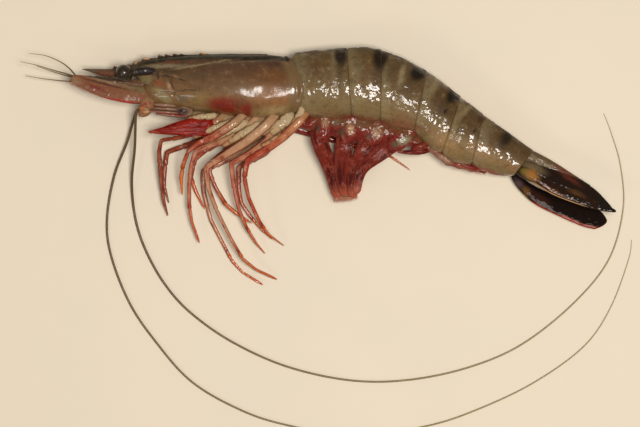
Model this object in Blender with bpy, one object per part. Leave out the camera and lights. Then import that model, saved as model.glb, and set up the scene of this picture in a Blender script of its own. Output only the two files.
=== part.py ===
"""A raw tiger prawn lying on its right side, modelled in metres with +Z up.

The head points to -X, the back to +Y and the legs to -Y. The prawn's middle plane is
level, so its left side faces up. The origin is on the flat spot that it rests on, under
the first abdominal segment. Lengths below are in millimetres.
"""
import math

import bpy
from mathutils import Vector

MM = 0.001

# ---- driving sizes -------------------------------------------------------------------
MID_HEIGHT = 10.4          # the middle plane of the carapace above the rest plane
TAIL_MID_HEIGHT = 7.4      # the middle plane at the end of the sixth segment
GAP = 0.32                 # clear space between neighbouring pieces
BODY_SIDES = 20            # points round a body section
BLADE_SIDES = 8
LIMB_SIDES = 6
LEG_STEPS = 2              # rings for each stretch between two named leg points
OVERLAP_FLARE = 0.022      # how much wider a segment is at its rear edge
LEG_FLATNESS = 0.8         # a leg's thickness as a share of its width
REST_CLEARANCE = 0.05      # limbs stay this far above the rest plane

ROSTRUM_TIP_X = -99.0
CARAPACE_FRONT_X = -73.5
TOOTH_HEIGHT = 1.1
TOOTH_LENGTH = 4.0
TOOTH_TIPS_X = (-86.5, -81.5, -76.8, -71.9, -66.6, -60.5)

ANTENNA_BASE_RADIUS = 0.62
ANTENNA_TIP_RADIUS = 0.30
FLAGELLUM_BASE_RADIUS = 0.42
FLAGELLUM_TIP_RADIUS = 0.28
EYE_RADIUS = 3.3
EYE_OFFSET = 5.3           # eye centre from the middle plane

# Carapace stations from the rostrum's tip to the rear edge: the ridge point and the
# lower point as (x, y) pairs, then the half width.
CARAPACE = (
    ((ROSTRUM_TIP_X, 9.3), (ROSTRUM_TIP_X, 8.5), 0.4),
    ((-92.0, 9.1), (-92.0, 7.2), 0.9),
    ((-84.0, 9.5), (-84.0, 6.9), 1.2),
    ((-78.0, 10.8), (-78.0, 6.6), 1.6),
    ((-75.2, 11.8), (-74.8, 2.6), 3.4),
    ((CARAPACE_FRONT_X, 12.5), (-72.5, -4.0), 5.6),
    ((-62.0, 14.0), (-62.0, -6.3), 8.6),
    ((-52.0, 14.7), (-51.0, -8.1), 10.2),
    ((-42.0, 14.9), (-41.0, -9.8), 11.0),
    ((-32.0, 14.9), (-30.0, -10.8), 11.2),
    ((-23.0, 14.8), (-20.0, -10.6), 11.1),
    ((-16.6, 14.3), (-12.6, -9.4), 10.6),
)

# Edges between abdominal segments, in the same form, from the front of the first.
ABDOMEN = (
    ((-16.1, 15.4), (-12.1, -9.9), 10.6),
    ((6.8, 17.5), (8.8, -10.8), 10.9),
    ((20.8, 16.4), (20.0, -13.2), 10.7),
    ((38.8, 8.2), (33.2, -17.2), 10.0),
    ((52.4, -2.2), (44.4, -25.2), 8.8),
    ((61.6, -9.2), (56.4, -29.8), 7.6),
    ((81.2, -23.2), (73.2, -34.2), 5.3),
)
SEGMENT_RINGS = 5


# ---- colours -------------------------------------------------------------------------
def linear(channel):
    """One sRGB channel, 0 to 1, as a linear value."""
    return channel / 12.92 if channel <= 0.04045 else ((channel + 0.055) / 1.055) ** 2.4


def material(name, colour, roughness):
    """A plain Principled material of one sRGB hex colour."""
    made = bpy.data.materials.new(name)
    made.use_nodes = True
    shader = made.node_tree.nodes["Principled BSDF"]
    channels = [linear(int(colour[i:i + 2], 16) / 255) for i in (1, 3, 5)]
    shader.inputs["Base Color"].default_value = (*channels, 1.0)
    shader.inputs["Roughness"].default_value = roughness
    shader.inputs["Metallic"].default_value = 0.0
    made.diffuse_color = (*channels, 1.0)
    return made


# ---- shapes --------------------------------------------------------------------------
def closed_piece(name, rings, colour, roughness=0.35):
    """One closed solid through rings of equal length, with a flat face at each end."""
    sides = len(rings[0])
    points = [Vector(point) * MM for ring in rings for point in ring]
    faces = []
    for ring in range(len(rings) - 1):
        for side in range(sides):
            here = ring * sides + side
            beside = ring * sides + (side + 1) % sides
            faces.append((here, beside, beside + sides, here + sides))
    faces.append(tuple(reversed(range(sides))))
    last = (len(rings) - 1) * sides
    faces.append(tuple(range(last, last + sides)))
    mesh = bpy.data.meshes.new(name)
    mesh.from_pydata(points, [], faces)
    mesh.shade_smooth()
    mesh.materials.append(material(name, colour, roughness))
    piece = bpy.data.objects.new(name, mesh)
    bpy.context.collection.objects.link(piece)
    return piece


def smooth(values, place):
    """A Catmull-Rom curve through equal-length tuples, read at 0 to len(values) - 1."""
    last = len(values) - 1
    span = min(int(place), last - 1)
    part = place - span
    before = values[max(span - 1, 0)]
    start, end = values[span], values[span + 1]
    after = values[min(span + 2, last)]
    return tuple(
        0.5 * (2 * b + (c - a) * part + (2 * a - 5 * b + 4 * c - d) * part ** 2
               + (3 * b - a - 3 * c + d) * part ** 3)
        for a, b, c, d in zip(before, start, end, after))


def body_ring(ridge, low, half_width, height):
    """A pear-shaped section between a ridge point and a lower point, flat at z = 0."""
    ring = []
    for side in range(BODY_SIDES):
        turn = 2 * math.pi * side / BODY_SIDES
        down = (1 - math.cos(turn)) / 2
        sine = math.sin(turn)
        wide = math.copysign(abs(sine) ** 0.85, sine) * (0.86 + 0.26 * down)
        x = ridge[0] + (low[0] - ridge[0]) * down
        y = ridge[1] + (low[1] - ridge[1]) * down
        ring.append((x, y, max(height + wide * half_width, 0.0)))
    return ring


def limb_rings(points, sides, steps):
    """Oval rings along a smooth route of (x, y, z, half width, half thickness)."""
    count = (len(points) - 1) * steps
    route = [smooth(points, index / steps) for index in range(count + 1)]
    rings = []
    for index, (x, y, z, half_width, half_thick) in enumerate(route):
        ahead = Vector(route[min(index + 1, count)][:3])
        behind = Vector(route[max(index - 1, 0)][:3])
        along = (ahead - behind).normalized()
        across = Vector((0, 0, 1)).cross(along).normalized()
        over = along.cross(across)
        centre = Vector((x, y, max(z, half_thick + REST_CLEARANCE)))
        ring = []
        for side in range(sides):
            turn = 2 * math.pi * (side + 0.5) / sides
            ring.append(centre + across * half_width * math.cos(turn)
                        + over * half_thick * math.sin(turn))
        rings.append(ring)
    return rings


def limb(name, points, colour, sides=BLADE_SIDES, steps=LEG_STEPS):
    """A tapering limb or blade through its named points."""
    return closed_piece(name, limb_rings(points, sides, steps), colour)


def tapered(route, heights, radii, flatness=1.0):
    """Joins (x, y) points to z values and radii read evenly from short lists."""
    last = len(route) - 1
    points = []
    for index, (x, y) in enumerate(route):
        share = index / last
        height = smooth([(h,) for h in heights], share * (len(heights) - 1))[0]
        radius = smooth([(r,) for r in radii], share * (len(radii) - 1))[0]
        points.append((x, y, height, radius, radius * flatness))
    return points


# ---- carapace and abdomen ------------------------------------------------------------
def tooth_rise(x):
    """Height of the saw edge above the ridge: a drop in front, a slope behind."""
    for tip in TOOTH_TIPS_X:
        behind = (x - tip) / TOOTH_LENGTH
        if 0 <= behind < 1:
            return TOOTH_HEIGHT * (1 - behind)
    return 0.0


def carapace_section(x):
    """The carapace station at a ridge position x, between the named stations."""
    for index in range(len(CARAPACE) - 1):
        start, end = CARAPACE[index][0][0], CARAPACE[index + 1][0][0]
        if start <= x <= end:
            place = index + (x - start) / (end - start)
            flat = [(*ridge, *low, width) for ridge, low, width in CARAPACE]
            return smooth(flat, place)
    raise ValueError(x)


def make_carapace():
    """The head and thorax shell with its toothed rostrum, as one solid."""
    places = {station[0][0] for station in CARAPACE}
    for tip in TOOTH_TIPS_X:
        places |= {tip - 0.7, tip, tip + TOOTH_LENGTH * 0.55}
    rings = []
    for x in sorted(places):
        ridge_x, ridge_y, low_x, low_y, width = carapace_section(x)
        ring = body_ring((ridge_x, ridge_y), (low_x, low_y), width, MID_HEIGHT)
        ring[0] = (ridge_x, ridge_y + tooth_rise(x), MID_HEIGHT)
        rings.append(ring)
    closed_piece("carapace", rings, "#775941")


def abdomen_height(place):
    """Height of the middle plane, level at first and then sinking to the tail."""
    sink = max(0.0, (place - 2) / 4)
    return MID_HEIGHT + (TAIL_MID_HEIGHT - MID_HEIGHT) * sink ** 1.3


def make_abdomen():
    """Six segments, each flaring a little at the rear, with a thin gap between two."""
    colours = ("#705a3b", "#745e40", "#6a5439", "#574125", "#5d4326", "#614a2b")
    flat = [(*ridge, *low, width) for ridge, low, width in ABDOMEN]
    for segment, colour in enumerate(colours):
        length = math.dist(ABDOMEN[segment][1], ABDOMEN[segment + 1][1])
        trim = GAP / length
        rings = []
        for ring in range(SEGMENT_RINGS):
            share = trim + (1 - trim) * ring / (SEGMENT_RINGS - 1)
            ridge_x, ridge_y, low_x, low_y, width = smooth(flat, segment + share)
            flare = OVERLAP_FLARE * (share - 0.5)
            lift_x, lift_y = (ridge_x - low_x) * flare, (ridge_y - low_y) * flare
            ridge = (ridge_x + lift_x, ridge_y + lift_y)
            low = (low_x - lift_x, low_y - lift_y)
            rings.append(body_ring(ridge, low, width * (1 + flare),
                                   abdomen_height(segment + share)))
        closed_piece(f"abdomen_segment_{segment + 1}", rings, colour)


# ---- head ----------------------------------------------------------------------------
def each_side():
    """Names the two sides with the sign of their offset from the middle plane."""
    return (("left", 1), ("right", -1))


def make_eyes():
    """A ball on a short stalk, each side of the rostrum."""
    stalk = [(-75.6, 7.9, 1.0), (-77.4, 7.9, 1.5), (-79.0, 7.7, 1.7)]
    rings_on_ball = 9
    for side, sign in each_side():
        centre = Vector((-82.2, 7.6, MID_HEIGHT + sign * EYE_OFFSET))
        points = [(x, y, centre.z, r, r) for x, y, r in stalk]
        for ring in range(1, rings_on_ball):
            turn = math.pi * (0.16 + 0.83 * ring / rings_on_ball)
            radius = EYE_RADIUS * math.sin(turn)
            points.append((centre.x + EYE_RADIUS * math.cos(turn), centre.y, centre.z,
                           radius, radius))
        limb(f"eye_{side}", points, "#322619", sides=12, steps=1)


def make_snout():
    """Antennule stalks and their feelers, antennal scales and antenna bases."""
    feelers = {
        "left": (((-102.2, 7.2), (-107.6, 11.9), (-114.0, 14.6), (-120.6, 15.4)),
                 ((-102.4, 6.0), (-111.6, 9.0), (-118.0, 10.9), (-124.0, 12.2))),
        "right": (((-102.4, 6.0), (-109.0, 7.6), (-113.3, 9.0), (-117.6, 10.6)),
                  ((-102.2, 4.2), (-109.7, 4.8), (-116.0, 5.6), (-122.2, 6.7))),
    }
    for side, sign in each_side():
        height = MID_HEIGHT + sign * 2.3
        limb(f"antennule_stalk_{side}",
             [(-77.4, 2.6, height, 1.7, 1.6), (-86.0, 3.6, height, 1.6, 1.5),
              (-94.0, 4.8, height, 1.3, 1.3), (-101.6, 5.8, height, 1.2, 1.0)],
             "#684028", steps=3)
        for number, route in enumerate(feelers[side], start=1):
            ends = (height, height - 1.2, height - 3.0)
            limb(f"antennule_feeler_{side}_{number}",
                 tapered(route, ends, (FLAGELLUM_BASE_RADIUS, FLAGELLUM_TIP_RADIUS)),
                 "#4a3324", sides=LIMB_SIDES, steps=3)
        level = MID_HEIGHT + sign * 5.7
        limb(f"antennal_scale_{side}",
             [(-75.4, -0.6, level, 2.6, 0.7), (-82.0, -0.9, level, 3.5, 0.7),
              (-92.0, 0.8, level, 3.0, 0.6), (-99.0, 2.8, level, 1.8, 0.5),
              (-104.2, 4.2, level, 0.5, 0.4)],
             "#7d4a31", steps=3)
        level = MID_HEIGHT + sign * 4.4
        limb(f"antenna_base_{side}",
             [(-71.8, -6.4, level, 1.6, 1.8), (-74.0, -6.4, level, 2.4, 2.3),
              (-76.6, -6.6, level, 1.9, 2.0), (-78.0, -7.4, level, 1.1, 1.3)],
             "#b9754f", steps=2)
        level = MID_HEIGHT + sign * 2.4
        limb(f"mouthparts_{side}",
             [(-71.0, -7.6, level, 1.0, 1.2), (-66.0, -8.8, level, 1.5, 1.7),
              (-61.0, -9.8, level, 1.6, 1.8), (-56.6, -11.2, level, 1.0, 1.3)],
             "#5b3a33", steps=2)


def make_antennae():
    """Two long feelers that sweep down and back past the tail, lying on the surface."""
    inner = ((-77.6, -9.4), (-78.2, -22.0), (-79.6, -36.0), (-78.4, -50.0), (-74.4, -62.8),
             (-66.6, -76.8), (-56.0, -88.6), (-38.8, -100.6), (-16.4, -110.5),
             (9.5, -115.9), (33.2, -115.4), (56.9, -110.2), (77.5, -101.1),
             (98.0, -84.8), (112.2, -67.2), (118.0, -46.9), (117.0, -29.6),
             (113.2, -16.1), (110.2, -8.3))
    outer = ((-78.3, -9.2), (-81.4, -19.6), (-86.8, -33.6), (-89.7, -50.8), (-88.1, -65.4),
             (-80.8, -84.3), (-70.5, -99.7), (-56.0, -116.0), (-37.0, -127.2),
             (-18.1, -133.6), (10.8, -138.2), (39.6, -134.0), (60.1, -127.2),
             (82.2, -116.6), (102.0, -102.3), (112.8, -86.8), (120.2, -67.2),
             (121.4, -59.2))
    floor = 0.75
    radii = (ANTENNA_BASE_RADIUS, 0.5, ANTENNA_TIP_RADIUS)
    for side, sign, route in (("left", 1, inner), ("right", -1, outer)):
        start = MID_HEIGHT + sign * 4.4
        points = tapered(route, (floor, floor), radii)
        fall = (1.0, 0.62, 0.22, 0.0)
        for index, share in enumerate(fall):
            x, y, _, half_width, half_thick = points[index]
            height = floor + (start - floor) * share
            points[index] = (x, y, height, half_width, half_thick)
        limb(f"antenna_{side}", points, "#5a4428", sides=LIMB_SIDES, steps=2)


# ---- legs ----------------------------------------------------------------------------
def make_thorax():
    """The narrow underside between the two rows of legs."""
    points = [(-54.0, -9.9, MID_HEIGHT, 1.2, 1.6), (-46.0, -12.0, MID_HEIGHT, 2.4, 2.4),
              (-34.0, -13.9, MID_HEIGHT, 2.9, 2.6), (-22.0, -14.0, MID_HEIGHT, 2.9, 2.6),
              (-13.4, -12.4, MID_HEIGHT, 1.9, 2.0)]
    limb("thorax_underside", points, "#af906d", steps=3)


# Each leg: route in (x, y), its height along the way, and its radius along the way.
LEGS = {
    "maxilliped_left": (
        ((-44.8, -11.6), (-53.0, -16.2), (-60.5, -18.4), (-67.4, -19.4), (-68.4, -24.0),
         (-67.8, -33.6), (-66.8, -43.6), (-65.1, -49.5)),
        (15.6, 14.6, 13.0, 9.0, 4.6, 1.9), (1.9, 1.7, 1.3, 1.2, 1.0, 0.5), "#934e36"),
    "maxilliped_right": (
        ((-43.2, -12.8), (-51.0, -19.0), (-58.6, -21.6), (-65.4, -24.0), (-66.4, -29.6),
         (-66.8, -37.0), (-64.8, -44.4)),
        (4.6, 3.8, 2.6, 1.5, 1.3), (1.9, 1.6, 1.2, 1.0, 0.5), "#883e29"),
    "leg_1_left": (
        ((-37.8, -12.4), (-46.4, -18.0), (-52.0, -20.4), (-56.4, -23.6), (-58.8, -29.4),
         (-59.6, -34.4), (-59.4, -39.6)),
        (18.9, 18.6, 17.2, 13.5, 9.0, 6.0), (1.8, 1.7, 1.2, 1.2, 1.2, 0.4), "#a3533a"),
    "leg_1_right": (
        ((-38.0, -13.6), (-45.6, -20.4), (-50.8, -23.6), (-54.3, -27.0), (-56.0, -34.0),
         (-54.0, -39.6), (-51.2, -45.2)),
        (1.9, 1.9, 1.6, 1.4, 1.3), (1.5, 1.4, 1.2, 1.1, 0.4), "#8a4e2c"),
    "leg_2_left": (
        ((-31.6, -13.2), (-40.6, -18.8), (-47.0, -20.8), (-53.4, -23.6), (-55.6, -29.6),
         (-56.4, -37.0), (-56.4, -45.4), (-55.4, -52.0), (-53.0, -58.8)),
        (15.4, 15.2, 13.6, 11.2, 8.6, 7.0, 5.4, 4.0), (2.0, 1.9, 1.3, 1.2, 1.1, 0.4),
        "#934e36"),
    "leg_2_right": (
        ((-31.8, -14.2), (-39.6, -22.0), (-45.8, -26.6), (-48.4, -31.6), (-46.0, -38.0),
         (-41.8, -45.0), (-37.2, -48.8), (-32.8, -51.6)),
        (5.1, 5.0, 4.9, 4.6, 4.6, 4.6), (1.7, 1.5, 1.2, 1.1, 1.0, 0.4), "#a8492c"),
    "leg_3_left": (
        ((-25.2, -13.4), (-33.6, -20.2), (-40.4, -24.4), (-49.4, -30.2), (-48.6, -38.2),
         (-45.4, -47.2), (-39.4, -59.2), (-34.8, -67.0), (-29.6, -71.2), (-22.8, -74.4)),
        (18.9, 18.2, 16.4, 13.6, 12.0, 9.4, 6.0, 3.6, 1.6),
        (2.0, 1.9, 1.3, 1.1, 1.1, 1.0, 0.4), "#934e36"),
    "leg_3_right": (
        ((-25.4, -14.6), (-33.6, -23.0), (-41.8, -27.0), (-51.0, -31.6), (-50.8, -40.0),
         (-48.0, -51.0), (-43.8, -59.2), (-39.4, -67.6), (-35.2, -72.2), (-28.4, -76.4)),
        (1.9, 1.7, 1.5, 1.5, 1.5, 1.5, 1.3), (1.6, 1.5, 1.2, 1.0, 0.9, 0.4), "#8a4e2c"),
    "leg_4_left": (
        ((-18.6, -13.4), (-26.4, -21.0), (-32.4, -25.0), (-39.4, -28.6), (-38.4, -38.0),
         (-36.8, -46.0), (-33.6, -54.0), (-29.6, -60.6), (-26.0, -64.8)),
        (15.4, 15.0, 13.4, 11.0, 9.4, 6.4, 3.4, 1.4), (2.0, 1.7, 1.3, 1.1, 1.0, 0.4),
        "#9b5c2f"),
    "leg_4_right": (
        ((-18.8, -14.8), (-26.0, -24.0), (-31.4, -27.0), (-36.6, -30.2), (-36.6, -38.6),
         (-35.6, -44.4), (-31.8, -50.0), (-27.0, -55.6), (-23.2, -59.0)),
        (5.0, 4.6, 4.0, 3.6, 3.0, 2.2, 1.4), (1.7, 1.5, 1.1, 1.0, 0.4), "#8a4e2c"),
    "leg_5_left": (
        ((-11.8, -11.6), (-18.4, -18.0), (-25.0, -23.0), (-32.8, -27.4), (-34.2, -34.2),
         (-32.6, -42.2), (-28.4, -51.6), (-24.4, -57.2), (-18.4, -61.6)),
        (19.2, 18.6, 17.4, 14.4, 12.0, 9.0, 5.0, 1.4), (1.9, 1.8, 1.4, 1.1, 1.0, 0.4),
        "#b27c52"),
    "leg_5_right": (
        ((-15.0, -13.8), (-8.0, -16.0), (2.0, -19.2), (14.0, -22.4), (24.4, -25.6),
         (32.4, -31.2)),
        (2.9, 2.2, 1.7, 1.5, 1.5), (1.9, 1.6, 1.2, 1.0, 0.4), "#7a2c1c"),
}


def make_legs():
    """The third jaw-feet and five pairs of walking legs, bent at the knee."""
    for name, (route, heights, radii, colour) in LEGS.items():
        limb(name, tapered(route, heights, radii, LEG_FLATNESS), colour, sides=LIMB_SIDES)
    for side, level in (("left", 18.6), ("right", 7.0)):
        limb(f"jaw_foot_blade_{side}",
             [(-52.0, -14.4, level, 2.2, 0.5), (-58.0, -14.6, level, 2.6, 0.6),
              (-65.0, -15.4, level, 1.7, 0.5), (-72.4, -16.4, level, 0.5, 0.4)],
             "#8b2f22", steps=2)


# ---- swimming legs -------------------------------------------------------------------
def make_pleopods():
    """Five pairs of swimming legs, the first four gathered into one hanging bundle."""
    routes = (
        ((-3.6, -11.2), (-4.2, -19.0), (0.2, -31.0), (3.4, -42.8)),
        ((8.6, -11.8), (6.6, -22.0), (6.0, -33.0), (6.8, -42.0)),
        ((19.2, -14.0), (14.2, -23.2), (9.8, -32.6), (9.0, -41.0)),
        ((30.0, -17.0), (21.6, -24.6), (13.2, -31.6), (10.2, -37.6)),
        ((45.2, -26.6), (40.6, -26.2), (34.6, -25.2), (29.6, -24.6)),
    )
    widths = ((2.0, 2.6, 2.4, 1.5), (2.0, 2.3, 2.2, 1.5), (2.0, 2.1, 1.8, 1.4),
              (2.0, 2.0, 1.6, 1.0), (1.4, 1.3, 1.1, 0.6))
    thickness = (1.2, 0.6, 0.42, 0.4)
    spread = 1.6
    for side, sign in each_side():
        for number, (route, width) in enumerate(zip(routes, widths), start=1):
            base = MID_HEIGHT + sign * 4.2
            tip = (7.2 if side == "left" else 1.1) + spread * (number - 1)
            heights = (base, base + (tip - base) * 0.25, tip + (base - tip) * 0.3, tip)
            points = [(x, y, z, wide, thick) for (x, y), z, wide, thick
                      in zip(route, heights, width, thickness)]
            limb(f"pleopod_{number}_{side}", points, "#6d1f19", steps=2)


# ---- tail fan ------------------------------------------------------------------------
def make_tail_fan():
    """The pointed telson and two blades each side of it, folded together."""
    blades = {
        "telson": ("#7c6954", ((80.2, -26.3, 7.4, 2.7, 2.2), (88.0, -29.8, 8.0, 2.6, 1.8),
                               (96.0, -33.6, 8.4, 1.8, 1.2), (104.0, -37.4, 8.6, 0.5, 0.6))),
        "uropod_inner_left": ("#2a1a0e",
                              ((77.9, -29.7, 10.7, 1.8, 0.8), (90.0, -35.6, 12.0, 3.4, 0.6),
                               (102.0, -41.4, 11.4, 3.2, 0.5),
                               (111.6, -46.0, 10.2, 0.7, 0.4))),
        "uropod_outer_left": ("#946737",
                              ((75.7, -32.6, 12.7, 1.7, 0.8), (86.0, -38.0, 13.9, 2.9, 0.7),
                               (100.0, -43.6, 13.2, 2.6, 0.5),
                               (114.0, -47.6, 11.8, 0.5, 0.4))),
        "uropod_inner_right": ("#211511",
                               ((77.8, -29.9, 3.9, 1.6, 0.7), (90.0, -36.6, 4.1, 2.9, 0.6),
                                (101.0, -42.0, 4.1, 2.8, 0.5),
                                (108.6, -45.8, 3.9, 0.8, 0.4))),
        "uropod_outer_right": ("#1e1311",
                               ((73.4, -35.7, 3.0, 1.4, 0.9), (80.0, -40.4, 2.4, 3.0, 0.7),
                                (90.0, -45.4, 1.9, 3.7, 0.6), (101.0, -49.6, 1.7, 3.8, 0.5),
                                (109.2, -51.6, 1.8, 2.0, 0.4))),
    }
    for name, (colour, points) in blades.items():
        limb(name, points, colour, steps=3)


def main():
    """Builds the whole prawn."""
    for old in list(bpy.data.objects):
        bpy.data.objects.remove(old)
    make_carapace()
    make_abdomen()
    make_eyes()
    make_snout()
    make_antennae()
    make_thorax()
    make_legs()
    make_pleopods()
    make_tail_fan()


main()
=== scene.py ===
"""Looks of a raw tiger prawn that lies on its right side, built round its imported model.

Lengths are in millimetres until a mesh or a node is made. +X runs from head to tail, +Y
from legs to back and +Z up, out of the prawn's left side. Each section below makes one
kind of piece. Every piece rides on the one body, and most stand for a plain solid that
they cover.
"""
import math

import bpy
import numpy as np
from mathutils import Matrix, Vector


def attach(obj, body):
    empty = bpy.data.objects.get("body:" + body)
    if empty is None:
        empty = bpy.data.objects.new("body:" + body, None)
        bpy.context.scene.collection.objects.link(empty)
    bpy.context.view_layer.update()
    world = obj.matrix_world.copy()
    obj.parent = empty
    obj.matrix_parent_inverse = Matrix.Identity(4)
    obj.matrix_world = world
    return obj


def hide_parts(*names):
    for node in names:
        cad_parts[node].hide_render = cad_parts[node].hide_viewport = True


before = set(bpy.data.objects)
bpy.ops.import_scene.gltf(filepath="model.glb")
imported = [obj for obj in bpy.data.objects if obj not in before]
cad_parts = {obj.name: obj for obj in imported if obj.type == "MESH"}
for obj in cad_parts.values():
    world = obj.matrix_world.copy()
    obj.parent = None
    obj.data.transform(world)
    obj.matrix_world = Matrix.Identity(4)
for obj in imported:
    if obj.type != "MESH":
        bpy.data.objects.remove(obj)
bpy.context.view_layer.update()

MM = 0.001
MIDDLE = 10.4              # height of the animal's middle plane
TAIL_MIDDLE = 7.4          # the same, at the rear of the sixth segment
SIDES = (("left", 1), ("right", -1))

# How far out from the middle plane the parts of the head lie.
EYE_OUT = 5.3
FEELER_OUT = 2.3
SCALE_OUT = 5.7
ANTENNA_OUT = 4.4
MOUTH_OUT = 2.4

CHITIN_IOR = 1.45
WATER_FILM_IOR = 1.42
FLESH_SCATTER = (0.9, 0.45, 0.25)      # how far red, green and blue light spread
SMOOTH = {"interpolation_type": "SMOOTHSTEP"}


# ---- curves and skins ----------------------------------------------------------------
def along(values, place):
    """A Catmull-Rom curve through rows of numbers, read at 0 to len(values) - 1."""
    values = np.asarray(values, dtype=float)
    place = np.asarray(place, dtype=float)
    last = len(values) - 1
    span = np.clip(place.astype(int), 0, last - 1)
    part = (place - span)[..., None]
    before, start = values[np.maximum(span - 1, 0)], values[span]
    end, after = values[span + 1], values[np.minimum(span + 2, last)]
    return 0.5 * (2 * start + (end - before) * part
                  + (2 * before - 5 * start + 4 * end - after) * part ** 2
                  + (3 * start - before - 3 * end + after) * part ** 3)


def step(low, high, value):
    """A smooth rise from 0 at low to 1 at high."""
    share = np.clip((value - low) / (high - low), 0, 1)
    return share * share * (3 - 2 * share)


def ripple(x, y, z, seed):
    """A gentle, fixed unevenness in -1 to 1, from a few crossing waves."""
    waves = np.random.default_rng(seed)
    total = 0
    for _ in range(7):
        turn, phase = waves.uniform(0, 2 * math.pi, 2)
        pitch, lean = waves.uniform(0.35, 1.3), waves.uniform(-0.6, 0.6)
        total = total + np.sin(pitch * (x * math.cos(turn) + y * math.sin(turn) + z * lean)
                               + phase)
    return total / 7


def facing_out(rings):
    """The same rings, walked the way round that makes their faces point outwards."""
    rings = np.asarray(rings, dtype=float)
    ring_area = np.cross(rings, np.roll(rings, -1, axis=1)).sum(axis=1)
    ahead = np.gradient(rings.mean(axis=1), axis=0)
    if (ring_area * ahead).sum() < 0:
        rings = np.roll(rings[:, ::-1], 1, axis=1)
    return rings


def skin(name, shells, finish, nodes, spans=None):
    """One piece from closed shells, each a stack of equal rings, with a flow UV map."""
    points, faces, flow = [], [], []
    for rings, (first, last) in zip(shells, spans or [(0, 1)] * len(shells)):
        rings = facing_out(rings)
        count, sides = rings.shape[:2]
        base = len(points)
        points.extend(rings.reshape(-1, 3))
        points.extend((rings[0].mean(axis=0), rings[-1].mean(axis=0)))
        first_middle, last_middle = base + count * sides, base + count * sides + 1
        for ring in range(count - 1):
            low = first + (last - first) * ring / (count - 1)
            high = first + (last - first) * (ring + 1) / (count - 1)
            for side in range(sides):
                here = base + ring * sides + side
                beside = base + ring * sides + (side + 1) % sides
                left, right = side / sides, (side + 1) / sides
                faces.append((here, beside, beside + sides, here + sides))
                flow.extend(((low, left), (low, right), (high, right), (high, left)))
        for side in range(sides):
            here, beside = base + side, base + (side + 1) % sides
            left, right = side / sides, (side + 1) / sides
            faces.append((first_middle, beside, here))
            flow.extend(((first, left), (first, right), (first, left)))
            shift = (count - 1) * sides
            faces.append((last_middle, here + shift, beside + shift))
            flow.extend(((last, left), (last, left), (last, right)))
    mesh = bpy.data.meshes.new(name)
    mesh.from_pydata([tuple(point * MM) for point in points], [], faces)
    mesh.uv_layers.new(name="flow").data.foreach_set("uv", np.ravel(flow))
    mesh.shade_smooth()
    mesh.materials.append(finish)
    return settle(bpy.data.objects.new(name, mesh), nodes)


def settle(piece, nodes):
    """Links a piece, lets it ride on the body and stand for its plain solids."""
    if piece.name not in bpy.context.scene.collection.objects:
        bpy.context.scene.collection.objects.link(piece)
    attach(piece, "root")
    if nodes:
        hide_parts(*nodes)
    return piece


# ---- materials -----------------------------------------------------------------------
def paint(colour):
    """An sRGB hex colour as linear RGBA."""
    channels = [int(colour[i:i + 2], 16) / 255 for i in (1, 3, 5)]
    return (*(c / 12.92 if c <= 0.04045 else ((c + 0.055) / 1.055) ** 2.4
              for c in channels), 1.0)


def add(tree, kind, inputs=None, **settings):
    """Adds a node, gives it settings, and fills or links its inputs; hex is a colour."""
    made = tree.nodes.new(kind)
    for name, value in settings.items():
        setattr(made, name, value)
    for socket, value in (inputs or {}).items():
        if isinstance(value, bpy.types.NodeSocket):
            tree.links.new(value, made.inputs[socket])
        else:
            is_colour = isinstance(value, str) and value.startswith("#")
            made.inputs[socket].default_value = paint(value) if is_colour else value
    return made


def new_finish(name, roughness=0.3, coat=0.5, coat_roughness=0.08, soft=0.0, shine=0.2):
    """An empty wet finish: its tree, its shader and the place it is read at."""
    finish = bpy.data.materials.new(name)
    finish.use_nodes = True
    tree = finish.node_tree
    shader = tree.nodes["Principled BSDF"]
    shader.inputs["Roughness"].default_value = roughness
    shader.inputs["Coat Weight"].default_value = coat
    shader.inputs["Coat Roughness"].default_value = coat_roughness
    shader.inputs["Coat IOR"].default_value = WATER_FILM_IOR
    shader.inputs["IOR"].default_value = CHITIN_IOR
    shader.inputs["Specular IOR Level"].default_value = shine
    if soft:
        shader.inputs["Subsurface Weight"].default_value = soft
        shader.inputs["Subsurface Radius"].default_value = [r * MM for r in FLESH_SCATTER]
        shader.inputs["Subsurface Scale"].default_value = 1.0
    place = add(tree, "ShaderNodeTexCoord").outputs["Object"]
    return finish, tree, shader, place


def grain(size, detail=4.0, roughness=0.6):
    """Noise settings for blobs about size millimetres across."""
    return {"Scale": 1 / (size * MM), "Detail": detail, "Roughness": roughness}


def strayed(tree, place, size, reach):
    """The place, shifted by up to reach millimetres so that edges wander."""
    cloud = add(tree, "ShaderNodeTexNoise", {"Vector": place, **grain(size)})
    wander = add(tree, "ShaderNodeVectorMath",
                 {0: cloud.outputs["Color"], 1: (0.5, 0.5, 0.5)}, operation="SUBTRACT")
    return add(tree, "ShaderNodeVectorMath",
               {0: wander.outputs[0], 1: (reach * MM * 2,) * 3, 2: place},
               operation="MULTIPLY_ADD").outputs[0]


def lay(tree, under, over, value, low, high, least=0.0, most=1.0):
    """Lays a colour over another, least of it where a value is low and most where high."""
    share = add(tree, "ShaderNodeMapRange",
                {0: value, 1: low, 2: high, 3: least, 4: most}, **SMOOTH)
    return add(tree, "ShaderNodeMix", {0: share.outputs[0], 6: under, 7: over},
               data_type="RGBA").outputs[2]


def lay_ovals(tree, place, under, rows):
    """Lays soft ovals in order: centre, reach, colour, turn in degrees, edge, strength."""
    for (x, y), (wide, tall), colour, turn, edge, strength in rows:
        local = add(tree, "ShaderNodeMapping",
                    {"Vector": place, "Location": (x * MM, y * MM, 0),
                     "Rotation": (0, 0, math.radians(turn)),
                     "Scale": (wide * MM, tall * MM, 1.0)}, vector_type="TEXTURE")
        far = add(tree, "ShaderNodeVectorMath", {0: local.outputs[0]}, operation="LENGTH")
        under = lay(tree, under, colour, far.outputs["Value"], 1 - edge, 1 + edge * 0.4,
                    strength, 0.0)
    return under


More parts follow.
